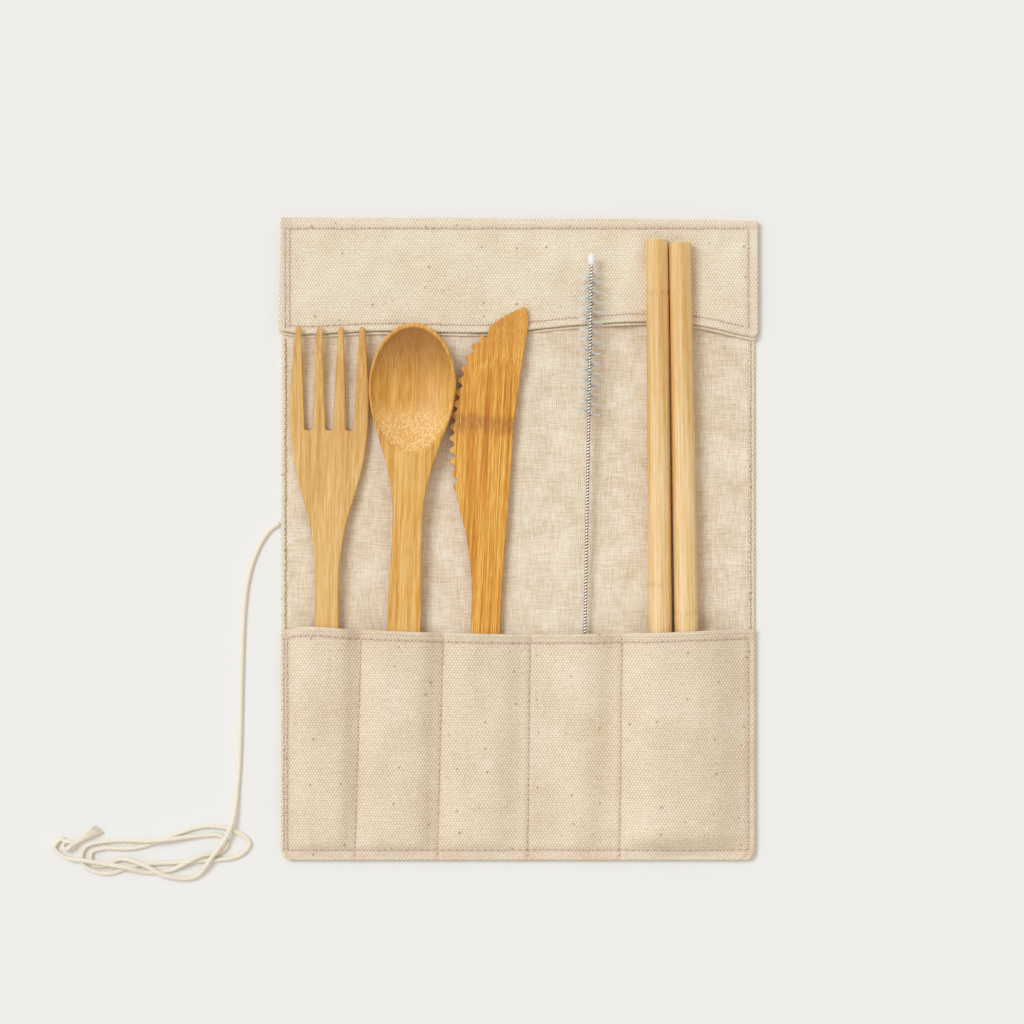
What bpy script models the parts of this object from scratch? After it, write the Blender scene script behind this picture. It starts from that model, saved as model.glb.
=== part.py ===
"""An open cloth cutlery roll with its bamboo set and tie cord, lying flat with the cutlery up.

Seen from above, +X runs to the right and +Y towards the flap. The origin is on the surface that the
roll lies on, under the centre of the cloth. Everything is in metres.
"""

import math
from collections import namedtuple

import bmesh
import bpy
from mathutils import Matrix, Vector

MM = 0.001
GAP = 0.3 * MM

# Cloth
PACK_WIDTH = 181 * MM
PACK_LENGTH = 245 * MM
CORNER_RADIUS = 4 * MM
CANVAS = 0.8 * MM
LINING = 0.4 * MM
EDGE_TURN = 2 * MM
SEAM_INSET = 4 * MM

# Flap at the far end
FLAP_WIDTH = 183 * MM
FLAP_DEPTH = 43 * MM
FLAP_LINING_PROUD = 1.3 * MM
FLAP_LIFT = 2.2 * MM
FLAP_LIFT_SPREAD = 5.5 * MM
FLAP_LIFT_OUTSIDE = 8.8 * MM
FLAP_COLUMNS = 44
FLAP_ROWS = 5
# Share of the width, and how far the hem hangs below its mean line
HEM_LINE = ((0, 0), (0.05, 1.2), (0.2, 0), (0.45, 0.5), (0.62, -2.2), (0.77, -3.6), (0.87, -2.6), (1, 2.4))

# Pockets, from the left; the last one takes the rest of the width
POCKET_DEPTH = 87.5 * MM
POCKET_WIDTHS = (30.6 * MM, 31.3 * MM, 33.2 * MM, 35.1 * MM)
DIVIDER_LEANS = (2.5 * MM, 2.3 * MM, 1.0 * MM, 1.0 * MM)
POCKET_ROWS = 5
CLOTH_RUNOUT = 3.0
# How the cloth falls beside a handle: share of the way out, and share of the height left
CLOTH_FALL = ((0, 1.0), (0.35, 0.78), (0.7, 0.3), (1, 0))
# Share of the width, and how far the mouth stands above its mean line
MOUTH_LINE = ((0, -1.2), (0.06, 1.7), (0.17, 0.7), (0.45, -0.9), (0.75, -0.6), (0.9, 0.4), (1, 0.8))

# How a piece stands in its pocket: pocket number, distance right of the pocket's middle at the mouth,
# lean to the right going up in degrees, and distance of its foot from the seam
Seat = namedtuple("Seat", "pocket offset lean rise")
FORK_SEAT = Seat(0, 2.25 * MM, 0.7, 2.5 * MM)
SPOON_SEAT = Seat(1, 0.65 * MM, 2.07, 2.5 * MM)
KNIFE_SEAT = Seat(2, -0.5 * MM, 3.0, 2.5 * MM)
BRUSH_SEAT = Seat(3, 3.4 * MM, 1.0, 2.5 * MM)
STRAW_RISE = 4.9 * MM
STRAW_SEATS = (Seat(4, -10.4 * MM, -0.47, STRAW_RISE), Seat(4, -0.5 * MM, -1.0, STRAW_RISE))

# Fork: half widths by distance from the foot, and the height of its middle layer
FORK_LENGTH = 197.2 * MM
FORK_THICKNESS = 3.0 * MM
FORK_TIP_THICKNESS = 1.9 * MM
FORK_SIDE = (
    (5, 5.5), (60, 5.2), (100, 4.8), (111, 5.4), (123, 7.4), (132, 9.9),
    (143, 12.8), (155, 14.6), (169, 15.1), (182, 14.5),
)
FORK_RISE = ((0, 0), (60, 1.6), (105, 2.4), (135, 1.0), (155, 0.2), (175, 0.9), (197.2, 3.4))
TINE_LENGTH = 39.5 * MM
TINE_PITCH_AT_ROOT = 7.9 * MM
TINE_PITCH_AT_TIP = 8.1 * MM
SLOT_AT_ROOT = 3.05 * MM
TINE_TIP_WIDTH = 2.2 * MM
BOARD_CORNER = 4 * MM
FORK_STATIONS = 22

# Spoon
SPOON_LENGTH = 198.7 * MM
SPOON_THICKNESS = 3.4 * MM
SPOON_SIDE = (
    (6, 6.8), (60, 6.6), (93, 6.3), (117, 5.7), (130, 5.9), (141.5, 8.1),
    (151, 10.9), (163.5, 15.0), (170, 16.3), (174.2, 16.6),
)
BOWL_WIDEST = 174.2 * MM
BOWL_FOOT = 148.8 * MM
BOWL_RIM = 0.7 * MM
BOWL_DEPTH = 6.0 * MM
BOWL_WALL = 1.8 * MM
RIM_THICKNESS = 1.6 * MM
SPOON_CORNER = 5 * MM
SPOON_TIP_FLAT = 0.1 * MM
# How far below the bowl's foot the handle is at full height, and where it starts to thin
SHOULDER = 14 * MM
THINNING = 16 * MM
HANDLE_STATIONS = 8
BOWL_STATIONS = 23

# Knife: the spine is on the right and the teeth on the left
KNIFE_LENGTH = 205.6 * MM
KNIFE_THICKNESS = 2.8 * MM
KNIFE_EDGE_THICKNESS = 1.3 * MM
KNIFE_SPINE = ((5, 5.6), (100, 5.5), (120, 6.0), (158, 6.8), (178, 8.1), (197, 10.1), (202, 10.2))
KNIFE_POINT = ((204.8, 9.4), (205.4, 8.4), (203.7, 4.8), (201.2, 0.5), (197.1, -4.5), (193, -5.2))
KNIFE_BELLY = ((5, 5.6), (93, 5.6), (105, 6.8), (117, 9.2), (129.5, 13.0), (133.5, 14.0))
KNIFE_TOOTH_LINE = (
    (136, 15.1), (144, 16.8), (153, 17.6), (159, 17.8), (168, 16.8),
    (177, 15.2), (185, 12.9), (189.2, 10.8), (193.2, 8.1),
)
TOOTH_COUNT = 14
TOOTH_DEPTH = 2.3 * MM
TOOTH_HOOK = 0.9 * MM
GRIND_LINE = 3.0 * MM
GRIND_LEAD = 8 * MM
GRIND_RUN = 10 * MM

# Straw brush
WIRE_DIAMETER = 1.7 * MM
BRUSH_LENGTH = 221 * MM
BRISTLE_DIAMETER = 10 * MM
BRISTLE_START = 163 * MM
BRISTLE_LENGTH = 55 * MM
TUFT_COUNT = 14
TUFT_THICKNESS = 1.1 * MM
TUFT_BACKING = 0.5 * MM
BRUSH_TIP_DIAMETER = 2.4 * MM
BRUSH_TIP_LENGTH = 3.8 * MM

# Straws, as a pair from left to right
STRAW_LENGTHS = (228.0 * MM, 226.8 * MM)
STRAW_FOOT_DIAMETERS = (9.1 * MM, 9.4 * MM)
STRAW_TOP_DIAMETERS = (8.2 * MM, 8.2 * MM)
STRAW_BORE = 6.2 * MM
STRAW_SIDES = 24
# Share of a straw's radius that the cloth lies on
STRAW_CROWN = 0.55

# Tie cord: it leaves the left edge and lies on the surface. Points in millimetres from its exit.
CORD_DIAMETER = 1.8 * MM
CORD_EXIT_UP = 6.3 * MM
CORD_LOWEST = 0.95 * MM
CORD_STEP = 6.0 * MM
CORD_ROUTE = (
    (-0.5, 0.0, 1.00), (-4.5, -3.2, 0.95), (-9.0, -10.7, 0.95), (-13.1, -25.4, 0.95),
    (-16.3, -99.8, 0.95), (-19.1, -116.8, 3.00), (-26.3, -127.9, 3.10), (-32.6, -135.1, 1.40),
    (-43.7, -134.7, 2.60), (-52.1, -130.5, 3.10), (-60.9, -128.4, 1.20), (-67.7, -131.0, 0.95),
    (-72.0, -130.0, 0.95), (-72.1, -125.8, 0.95), (-67.7, -124.3, 0.95), (-55.2, -124.1, 0.95),
    (-29.2, -115.9, 0.95), (-17.4, -117.7, 0.95), (-11.8, -122.3, 0.95), (-15.5, -126.9, 0.95),
    (-35.7, -129.4, 0.95), (-54.8, -130.7, 0.95), (-67.0, -133.9, 0.95), (-75.6, -130.3, 0.95),
    (-74.6, -123.9, 0.95), (-63.2, -121.3, 0.95), (-48.3, -121.3, 3.10), (-28.8, -119.3, 0.95),
    (-22.9, -119.4, 0.95), (-20.2, -122.9, 0.95), (-23.9, -126.1, 0.95), (-29.6, -126.8, 2.50),
    (-34.5, -129.0, 3.10), (-42.6, -132.8, 1.00), (-51.7, -133.4, 1.10), (-57.8, -131.7, 3.10),
    (-66.2, -130.2, 3.10), (-74.2, -128.9, 3.10), (-82.6, -127.5, 1.10), (-86.4, -123.9, 0.95),
    (-83.8, -120.3, 1.30),
)
KNOT_CENTRE = (Vector(CORD_ROUTE[-1]) + Vector((2.2, -3.3, 0.5))) * MM
KNOT_SIZE = Vector((5.2, 4.0, 3.5)) * MM
TAIL_LENGTH = 11.5 * MM
TAIL_TURN = 32
TAIL_FLARE = 3.4 * MM
TAIL_HEIGHT = 1.8 * MM

EDGE_ROUNDING = 0.5 * MM
WELD = 0.01 * MM

# Heights of the layers, from the surface up
LINING_BOTTOM = CANVAS + GAP
LINING_TOP = LINING_BOTTOM + LINING
LAY_HEIGHT = LINING_TOP + GAP
FLAP_LINING_BOTTOM = LAY_HEIGHT
FLAP_CANVAS_BOTTOM = FLAP_LINING_BOTTOM + LINING + GAP
FLAP_TOP = FLAP_CANVAS_BOTTOM + CANVAS

PACK_LEFT = -PACK_WIDTH / 2
PACK_FOOT = -PACK_LENGTH / 2
PACK_HEAD = PACK_LENGTH / 2
SEAM = PACK_FOOT + SEAM_INSET
MOUTH = PACK_FOOT + POCKET_DEPTH
HEM = PACK_HEAD - FLAP_DEPTH


def start_scene():
    for obj in list(bpy.data.objects):
        bpy.data.objects.remove(obj, do_unlink=True)
    collection = bpy.data.collections.new("Cutlery roll")
    bpy.context.scene.collection.children.link(collection)
    return collection


def material(name, colour, roughness):
    made = bpy.data.materials.new(name)
    made.use_nodes = True
    shader = made.node_tree.nodes["Principled BSDF"]
    shader.inputs["Base Color"].default_value = (*colour, 1)
    shader.inputs["Roughness"].default_value = roughness
    shader.inputs["Metallic"].default_value = 0
    return made


def add_object(name, mesh, collection, finish):
    obj = bpy.data.objects.new(name, mesh)
    collection.objects.link(obj)
    mesh.materials.append(finish)
    return obj


def mesh_of(name, points, faces):
    mesh = bpy.data.meshes.new(name)
    mesh.from_pydata([tuple(p) for p in points], [], faces)
    mesh.update()
    return mesh


def follow(table, at):
    """The value at a distance along a table of (distance, value), on a smooth line through its points."""
    if at <= table[0][0]:
        return table[0][1]
    if at >= table[-1][0]:
        return table[-1][1]
    last = len(table) - 1
    i = next(k for k in range(last) if table[k + 1][0] >= at)
    (x1, y1), (x2, y2) = table[i], table[i + 1]
    x0, y0 = table[max(i - 1, 0)]
    x3, y3 = table[min(i + 2, last)]
    step = x2 - x1
    slope1 = (y2 - y0) / (x2 - x0) * step
    slope2 = (y3 - y1) / (x3 - x1) * step
    t = (at - x1) / step
    return (
        y1 * (1 + 2 * t) * (1 - t) ** 2
        + slope1 * t * (1 - t) ** 2
        + y2 * t * t * (3 - 2 * t)
        - slope2 * t * t * (1 - t)
    )


def follow_mm(table, at):
    return follow(table, at / MM) * MM


def smooth_route(points, steps):
    """Points on a centripetal Catmull-Rom curve through the given ones, so that tight turns stay round."""
    ends = [2 * points[0] - points[1], *points, 2 * points[-1] - points[-2]]
    made = []
    for p0, p1, p2, p3 in zip(ends, ends[1:], ends[2:], ends[3:]):
        t1 = math.sqrt((p1 - p0).length)
        t2 = t1 + math.sqrt((p2 - p1).length)
        t3 = t2 + math.sqrt((p3 - p2).length)
        for step in range(steps):
            t = t1 + (t2 - t1) * step / steps
            a1 = p0.lerp(p1, t / t1)
            a2 = p1.lerp(p2, (t - t1) / (t2 - t1))
            a3 = p2.lerp(p3, (t - t2) / (t3 - t2))
            b1 = a1.lerp(a2, t / t2)
            b2 = a2.lerp(a3, (t - t1) / (t3 - t1))
            made.append(b1.lerp(b2, (t - t1) / (t2 - t1)))
    made.append(points[-1])
    return made


def evenly(points, spacing):
    """The same line with its points about one spacing apart."""
    lengths = [0.0]
    for a, b in zip(points, points[1:]):
        lengths.append(lengths[-1] + (b - a).length)
    count = max(2, round(lengths[-1] / spacing))
    made, k = [], 0
    for i in range(count + 1):
        at = lengths[-1] * i / count
        while k < len(points) - 2 and lengths[k + 1] < at:
            k += 1
        made.append(points[k].lerp(points[k + 1], (at - lengths[k]) / (lengths[k + 1] - lengths[k])))
    return made


def pocket_edges():
    """X of the pocket sides at the mouth, from left to right."""
    edges = [PACK_LEFT]
    for width in POCKET_WIDTHS:
        edges.append(edges[-1] + width)
    return [*edges, PACK_LEFT + PACK_WIDTH]


def foot_of(seat):
    """Where the axis of a seated piece meets its foot, in plan."""
    edges = pocket_edges()
    y = SEAM + seat.rise
    x_at_mouth = (edges[seat.pocket] + edges[seat.pocket + 1]) / 2 + seat.offset
    return x_at_mouth - (MOUTH - y) * math.tan(math.radians(seat.lean)), y


def axis_x(seat, y):
    x, foot = foot_of(seat)
    return x + (y - foot) * math.tan(math.radians(seat.lean))


def seat_matrix(seat, height, tilt=0.0):
    """From a piece's own frame (X across, Y from its foot up) to where it lies."""
    x, y = foot_of(seat)
    lean = Matrix.Rotation(-math.radians(seat.lean), 4, "Z")
    return Matrix.Translation((x, y, height)) @ lean @ Matrix.Rotation(tilt, 4, "X")


def tilt_over_flap(seat, foot_low, head_low):
    """Tilt that lifts a piece's lower side from foot_low at its foot to head_low at the flap's hem."""
    return math.asin((head_low - foot_low) / (HEM - foot_of(seat)[1]))


def tilt_to_clear_flap(seat, underside, length):
    """The least tilt at which a bent piece's underside clears the flap from the hem to its own head."""
    first = HEM - foot_of(seat)[1]
    if first >= length:
        return 0.0
    steps = 12
    places = [first + (length - first) * k / steps for k in range(steps + 1)]
    return math.asin(max(0.0, *[(FLAP_TOP + GAP - LAY_HEIGHT - underside(at)) / at for at in places]))


def fork_tilt():
    return tilt_to_clear_flap(FORK_SEAT, fork_underside, FORK_LENGTH)


def spoon_tilt():
    return tilt_to_clear_flap(SPOON_SEAT, spoon_underside, SPOON_LENGTH)


def knife_tilt():
    return tilt_over_flap(KNIFE_SEAT, LAY_HEIGHT, FLAP_TOP + GAP)


def brush_tilt():
    return tilt_over_flap(BRUSH_SEAT, LAY_HEIGHT + WIRE_DIAMETER / 2, FLAP_TOP + GAP + BRISTLE_DIAMETER / 2)


def straw_radius(index, along):
    foot, top = STRAW_FOOT_DIAMETERS[index] / 2, STRAW_TOP_DIAMETERS[index] / 2
    return foot + (top - foot) * along / STRAW_LENGTHS[index]


def straw_tilt(index):
    seat = STRAW_SEATS[index]
    at_hem = straw_radius(index, HEM - foot_of(seat)[1])
    return tilt_over_flap(seat, LAY_HEIGHT + straw_radius(index, 0), FLAP_TOP + GAP + at_hem)


def rounded_sheet(name, width, length, radius, bottom, thickness):
    """A flat sheet centred on the origin, with its two foot corners rounded."""
    steps = 4
    outline = [Vector((width / 2, length / 2, bottom)), Vector((-width / 2, length / 2, bottom))]
    for side in (-1, 1):
        for step in range(steps + 1):
            turn = math.pi / 2 * (step if side < 0 else steps - step) / steps
            x = width / 2 - radius + radius * math.cos(turn)
            y = -length / 2 + radius - radius * math.sin(turn)
            outline.append(Vector((side * x, y, bottom)))
    bm = bmesh.new()
    face = bm.faces.new([bm.verts.new(p) for p in outline])
    grown = bmesh.ops.extrude_face_region(bm, geom=[face])["geom"]
    top = [v for v in grown if isinstance(v, bmesh.types.BMVert)]
    bmesh.ops.translate(bm, vec=(0, 0, thickness), verts=top)
    bmesh.ops.recalc_face_normals(bm, faces=bm.faces)
    mesh = bpy.data.meshes.new(name)
    bm.to_mesh(mesh)
    bm.free()
    return mesh


def back_canvas(collection, cutters, finish):
    """The outer cloth: its turned edge stands up round a shallow recess that the lining lies in."""
    outer = rounded_sheet("back_canvas", PACK_WIDTH, PACK_LENGTH, CORNER_RADIUS, 0, LINING_TOP)
    back = add_object("back_canvas", outer, collection, finish)
    inner = rounded_sheet(
        "lining recess", PACK_WIDTH - 2 * EDGE_TURN, PACK_LENGTH - 2 * EDGE_TURN,
        CORNER_RADIUS - EDGE_TURN / 2, CANVAS, LINING_TOP,
    )
    cutter = add_object("lining recess", inner, cutters, finish)
    cutter.hide_render = True
    cutter.display_type = "WIRE"
    recess = back.modifiers.new("Lining recess", "BOOLEAN")
    recess.operation = "DIFFERENCE"
    recess.object = cutter


def lining(collection, finish):
    inset = 2 * (EDGE_TURN + GAP)
    mesh = rounded_sheet(
        "lining", PACK_WIDTH - inset, PACK_LENGTH - inset, CORNER_RADIUS - EDGE_TURN / 2,
        LINING_BOTTOM, LINING,
    )
    add_object("lining", mesh, collection, finish)


def cloth_sheet(name, rows, thickness, collection, finish):
    """A shell over rows of points, with its thickness on the upper side."""
    columns = len(rows[0])
    points = [p for row in rows for p in row]
    faces = []
    for r in range(len(rows) - 1):
        for c in range(columns - 1):
            first = r * columns + c
            faces.append((first, first + 1, first + columns + 1, first + columns))
    sheet = add_object(name, mesh_of(name, points, faces), collection, finish)
    shell = sheet.modifiers.new("Cloth thickness", "SOLIDIFY")
    shell.thickness = thickness
    shell.offset = 1
    sheet.data.shade_smooth()
    sheet.data.set_sharp_from_angle(angle=math.radians(50))


def flap_lift(x, share):
    """How far the flap stands off its flat lie: the cloth puffs up beside the straws, most at the hem."""
    left = axis_x(STRAW_SEATS[0], HEM) - STRAW_FOOT_DIAMETERS[0] / 2 - FLAP_LIFT_OUTSIDE
    right = axis_x(STRAW_SEATS[1], HEM) + STRAW_FOOT_DIAMETERS[1] / 2 + FLAP_LIFT_OUTSIDE
    swell = sum(math.exp(-(((x - at) / FLAP_LIFT_SPREAD) ** 2)) for at in (left, right))
    return FLAP_LIFT * share * share * swell


def flap_sheet(name, bottom, thickness, proud, collection, finish):
    rows = []
    for r in range(FLAP_ROWS + 1):
        share = r / FLAP_ROWS
        row = []
        for c in range(FLAP_COLUMNS + 1):
            across = c / FLAP_COLUMNS
            x = FLAP_WIDTH * (across - 0.5)
            hem = HEM - follow(HEM_LINE, across) * MM - proud
            y = PACK_HEAD + (hem - PACK_HEAD) * share
            row.append((x, y, bottom + flap_lift(x, share)))
        rows.append(row)
    cloth_sheet(name, rows[::-1], thickness, collection, finish)


def fork_half_width(along):
    return follow_mm(FORK_SIDE, along)


def fork_underside(along):
    return GAP / 2 + follow_mm(FORK_RISE, along)


def fork_top(along):
    return fork_underside(along) + FORK_THICKNESS


def spoon_half_width(along):
    """Half width of the spoon: a half ellipse from the widest place to the tip."""
    if along <= BOWL_WIDEST:
        return follow_mm(SPOON_SIDE, along)
    share = min(1.0, (along - BOWL_WIDEST) / (SPOON_LENGTH - BOWL_WIDEST))
    return follow_mm(SPOON_SIDE, BOWL_WIDEST) * math.sqrt(1 - share * share)


def spoon_top(along):
    """Height of the upper side above the foot's lower side: the handle climbs to the bowl's rim."""
    rim = BOWL_DEPTH + BOWL_WALL
    handle_end = BOWL_FOOT - SHOULDER
    if along >= BOWL_FOOT:
        return rim
    if along <= handle_end:
        return SPOON_THICKNESS + (rim - SPOON_THICKNESS) * (along / handle_end) ** 1.3
    return rim


def spoon_thickness(along):
    """Thickness at the sides: the handle thins to the bowl's rim."""
    share = min(1.0, max(0.0, (along - BOWL_FOOT + THINNING) / THINNING))
    return SPOON_THICKNESS + (RIM_THICKNESS - SPOON_THICKNESS) * share


def spoon_underside(along, across=0.0):
    """Height of the lower side, which swells down under the bowl."""
    reach = SPOON_LENGTH - BOWL_WIDEST if along > BOWL_WIDEST else BOWL_WIDEST - BOWL_FOOT + SHOULDER
    from_widest = min(1.0, abs(along - BOWL_WIDEST) / reach)
    spread = (across / spoon_half_width(BOWL_WIDEST)) ** 2 + from_widest**2
    drop = BOWL_DEPTH + BOWL_WALL - RIM_THICKNESS
    return spoon_top(along) - spoon_thickness(along) - drop * max(0.0, 1 - spread) ** 0.8


def knife_half_width(along):
    return max(follow_mm(KNIFE_SPINE, along), follow_mm(KNIFE_BELLY, along))


def handle_bumps():
    """For each pocket: seats' axis, plateau half width and top height at a given Y."""

    def flat(seat, half_width, top):
        foot = foot_of(seat)[1]
        return lambda y: (axis_x(seat, y), half_width(y - foot), top(max(y - foot, 0)))

    def fork_height(along):
        return LAY_HEIGHT + fork_top(along) + along * math.sin(fork_tilt())

    def spoon_height(along):
        return LAY_HEIGHT + spoon_top(along) + along * math.sin(spoon_tilt())

    def knife_height(along):
        return LAY_HEIGHT + KNIFE_THICKNESS + along * math.sin(knife_tilt())

    def wire_height(along):
        return LAY_HEIGHT + WIRE_DIAMETER + along * math.sin(brush_tilt())

    def straws(y):
        left, right = STRAW_SEATS
        along = max(y - foot_of(left)[1], 0)
        tops = [
            LAY_HEIGHT + straw_radius(i, 0) + along * math.sin(straw_tilt(i)) + straw_radius(i, along)
            for i in (0, 1)
        ]
        first, second = axis_x(left, y), axis_x(right, y)
        return (first + second) / 2, (second - first) / 2 + straw_radius(1, along) * STRAW_CROWN, max(tops)

    return (
        flat(FORK_SEAT, fork_half_width, fork_height),
        flat(SPOON_SEAT, spoon_half_width, spoon_height),
        flat(KNIFE_SEAT, knife_half_width, knife_height),
        flat(BRUSH_SEAT, lambda along: WIRE_DIAMETER / 2, wire_height),
        straws,
    )


def bump_profile(axis, plateau, height, left, right, corner):
    """Points (x, height) of the cloth over one handle, between its two pocket sides."""
    points = []
    for side, limit in ((-1, left), (1, right)):
        room = abs(limit - axis) - plateau
        run = min(corner + height * CLOTH_RUNOUT, 0.9 * room)
        points.append([(axis + side * (plateau + out * run), height * left) for out, left in CLOTH_FALL])
    return [*points[0][::-1], (axis, height * 1.02), *points[1]]


def pocket_canvas(collection, finish):
    """The pocket panel: sewn down along its foot, sides and dividers, and raised over each handle."""
    seats = (FORK_SEAT, SPOON_SEAT, KNIFE_SEAT, BRUSH_SEAT, STRAW_SEATS[0])
    bumps = handle_bumps()
    edges = pocket_edges()
    corner_rows = [0, CORNER_RADIUS * 0.3, SEAM_INSET]
    foot_rows = sorted({SEAM_INSET + seat.rise - GAP for seat in seats})
    first = foot_rows[-1]
    body_rows = [first + (POCKET_DEPTH - first) * k / POCKET_ROWS for k in range(1, POCKET_ROWS + 1)]
    rows = []
    for up in [*corner_rows, *foot_rows, *body_rows]:
        reach = max(CORNER_RADIUS - up, 0)
        inset = CORNER_RADIUS - math.sqrt(CORNER_RADIUS**2 - reach**2)
        sides = [PACK_LEFT + inset]
        for edge, lean in zip(edges[1:-1], DIVIDER_LEANS):
            sides.append(edge - lean * (1 - up / POCKET_DEPTH))
        sides.append(-PACK_LEFT - inset)
        y = PACK_FOOT + up
        row = []
        for k, (seat, bump) in enumerate(zip(seats, bumps)):
            axis, half_width, top = bump(y)
            raised = min(1.0, max(0.0, (up - SEAM_INSET) / (seat.rise - GAP)))
            height = (top + GAP - LAY_HEIGHT) * raised
            corner = STRAW_FOOT_DIAMETERS[0] / 2 * 0.3 if k == 4 else GAP
            row.append((sides[k], 0))
            row += bump_profile(axis, half_width + GAP, height, sides[k], sides[k + 1], corner)
        row.append((sides[-1], 0))
        share = max(0.0, (up - first) / (POCKET_DEPTH - first))
        wave = [follow(MOUTH_LINE, (x - PACK_LEFT) / PACK_WIDTH) * MM * share for x, _ in row]
        rows.append([(x, y + w, LAY_HEIGHT + z) for (x, z), w in zip(row, wave)])
    cloth_sheet("pocket_canvas", rows, CANVAS, collection, finish)


def tine_edges(index, at_tip):
    """X of a tine's left and right side, at its root or its tip; tines count outwards from the middle."""
    if at_tip:
        middle = TINE_PITCH_AT_TIP * (index + 0.5)
        return middle - TINE_TIP_WIDTH / 2, middle + TINE_TIP_WIDTH / 2
    left = TINE_PITCH_AT_ROOT * index + SLOT_AT_ROOT / 2
    return left, left + TINE_PITCH_AT_ROOT - SLOT_AT_ROOT


def rounded_foot(half_width):
    """The rounded right corner of a board's foot, from its end up its side."""
    corner = []
    for step in range(4):
        turn = math.pi / 2 * step / 3
        corner.append((half_width - BOARD_CORNER * (1 - math.sin(turn)), BOARD_CORNER * (1 - math.cos(turn))))
    return corner


def fork_outline():
    """Right half of the fork, from the middle of its foot to the middle slot."""
    root = FORK_LENGTH - TINE_LENGTH
    outline = [(0, 0), *rounded_foot(fork_half_width(0))]
    outline += [(width * MM, at * MM) for at, width in FORK_SIDE[1:]]
    for index in (1, 0):
        left, right = tine_edges(index, True)
        radius = (right - left) / 2
        shoulder = FORK_LENGTH - radius
        if index == 0:
            root_right = tine_edges(0, False)[1]
            outline.append((root_right, root + SLOT_AT_ROOT / 2))
        for step in range(5):
            turn = math.pi * step / 4
            outline.append(((left + right) / 2 + radius * math.cos(turn), shoulder + radius * math.sin(turn)))
        slot_right = tine_edges(index, False)[0]
        outline.append((slot_right, root + SLOT_AT_ROOT / 2))
        if index:
            outline.append((slot_right - SLOT_AT_ROOT * 0.25, root + SLOT_AT_ROOT * 0.08))
            outline.append((slot_right - SLOT_AT_ROOT * 0.75, root + SLOT_AT_ROOT * 0.08))
    outline.append((SLOT_AT_ROOT * 0.25, root + SLOT_AT_ROOT * 0.08))
    return outline


def cut_board(name, outline, stations, height, length, collection, finish):
    """A board cut to an outline and bent along its length: one face cut across at even stations."""
    bm = bmesh.new()
    bm.faces.new([bm.verts.new((x, y, 0)) for x, y in outline])
    for k in range(1, stations):
        geometry = [*bm.verts, *bm.edges, *bm.faces]
        bmesh.ops.bisect_plane(bm, geom=geometry, plane_co=(0, length * k / stations, 0), plane_no=(0, 1, 0))
    bmesh.ops.remove_doubles(bm, verts=bm.verts, dist=WELD)
    step = length / stations
    for vert in bm.verts:
        k = min(int(vert.co.y / step + 1e-6), stations - 1)
        share = vert.co.y / step - k
        vert.co.z = height(k * step) * (1 - share) + height((k + 1) * step) * share
    bmesh.ops.recalc_face_normals(bm, faces=bm.faces)
    if sum(face.normal.z for face in bm.faces) < 0:
        bmesh.ops.reverse_faces(bm, faces=bm.faces)
    mesh = bpy.data.meshes.new(name)
    bm.to_mesh(mesh)
    bm.free()
    return add_object(name, mesh, collection, finish)


def give_thickness(board, thickness, thinnest, share_at):
    """Solidify and rounded edges. share_at gives how much of the thickness a place has, from 0 to 1."""
    group = board.vertex_groups.new(name="Thickness")
    for vert in board.data.vertices:
        group.add([vert.index], share_at(vert.co), "REPLACE")
    shell = board.modifiers.new("Thickness", "SOLIDIFY")
    shell.thickness = thickness
    shell.offset = 0
    shell.vertex_group = group.name
    shell.thickness_vertex_group = thinnest / thickness
    rounding = board.modifiers.new("Rounded edges", "BEVEL")
    rounding.width = EDGE_ROUNDING
    rounding.segments = 1
    rounding.limit_method = "ANGLE"
    rounding.angle_limit = math.radians(50)
    rounding.use_clamp_overlap = False
    board.data.shade_smooth()
    board.data.set_sharp_from_angle(angle=math.radians(40))


def fork(collection, finish):
    half = fork_outline()
    outline = half + [(-x, y) for x, y in reversed(half) if x > 0]

    def height(along):
        return follow_mm(FORK_RISE, along)

    board = cut_board("fork", outline, FORK_STATIONS, height, FORK_LENGTH, collection, finish)
    tines = FORK_LENGTH - TINE_LENGTH

    def share_at(place):
        return 1 - max(0.0, (place.y - tines) / TINE_LENGTH)

    give_thickness(board, FORK_THICKNESS, FORK_TIP_THICKNESS, share_at)
    board.matrix_world = seat_matrix(FORK_SEAT, LAY_HEIGHT + GAP / 2 + FORK_THICKNESS / 2, fork_tilt())


def knife_outline():
    """The knife from the left of its foot, up the teeth, over the point and down the spine."""
    foot = rounded_foot(KNIFE_SPINE[0][1] * MM)
    outline = [(-x, y) for x, y in foot]
    outline += [(-width * MM, at * MM) for at, width in KNIFE_BELLY[1:]]
    start, end = KNIFE_TOOTH_LINE[0][0] * MM, KNIFE_TOOTH_LINE[-1][0] * MM
    pitch = (end - start) / (TOOTH_COUNT - 1)
    for k in range(TOOTH_COUNT):
        at = start + pitch * k
        hook = TOOTH_HOOK * k / (TOOTH_COUNT - 1)
        outline.append((-follow_mm(KNIFE_TOOTH_LINE, at), at + hook))
        if k < TOOTH_COUNT - 1:
            valley = at + pitch * 0.5 + hook
            outline.append((TOOTH_DEPTH - follow_mm(KNIFE_TOOTH_LINE, valley), valley))
    outline += [(x * MM, at * MM) for at, x in reversed(KNIFE_POINT)]
    outline += [(x * MM, at * MM) for at, x in reversed(KNIFE_SPINE[1:])]
    outline += foot[::-1]
    return outline


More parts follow.
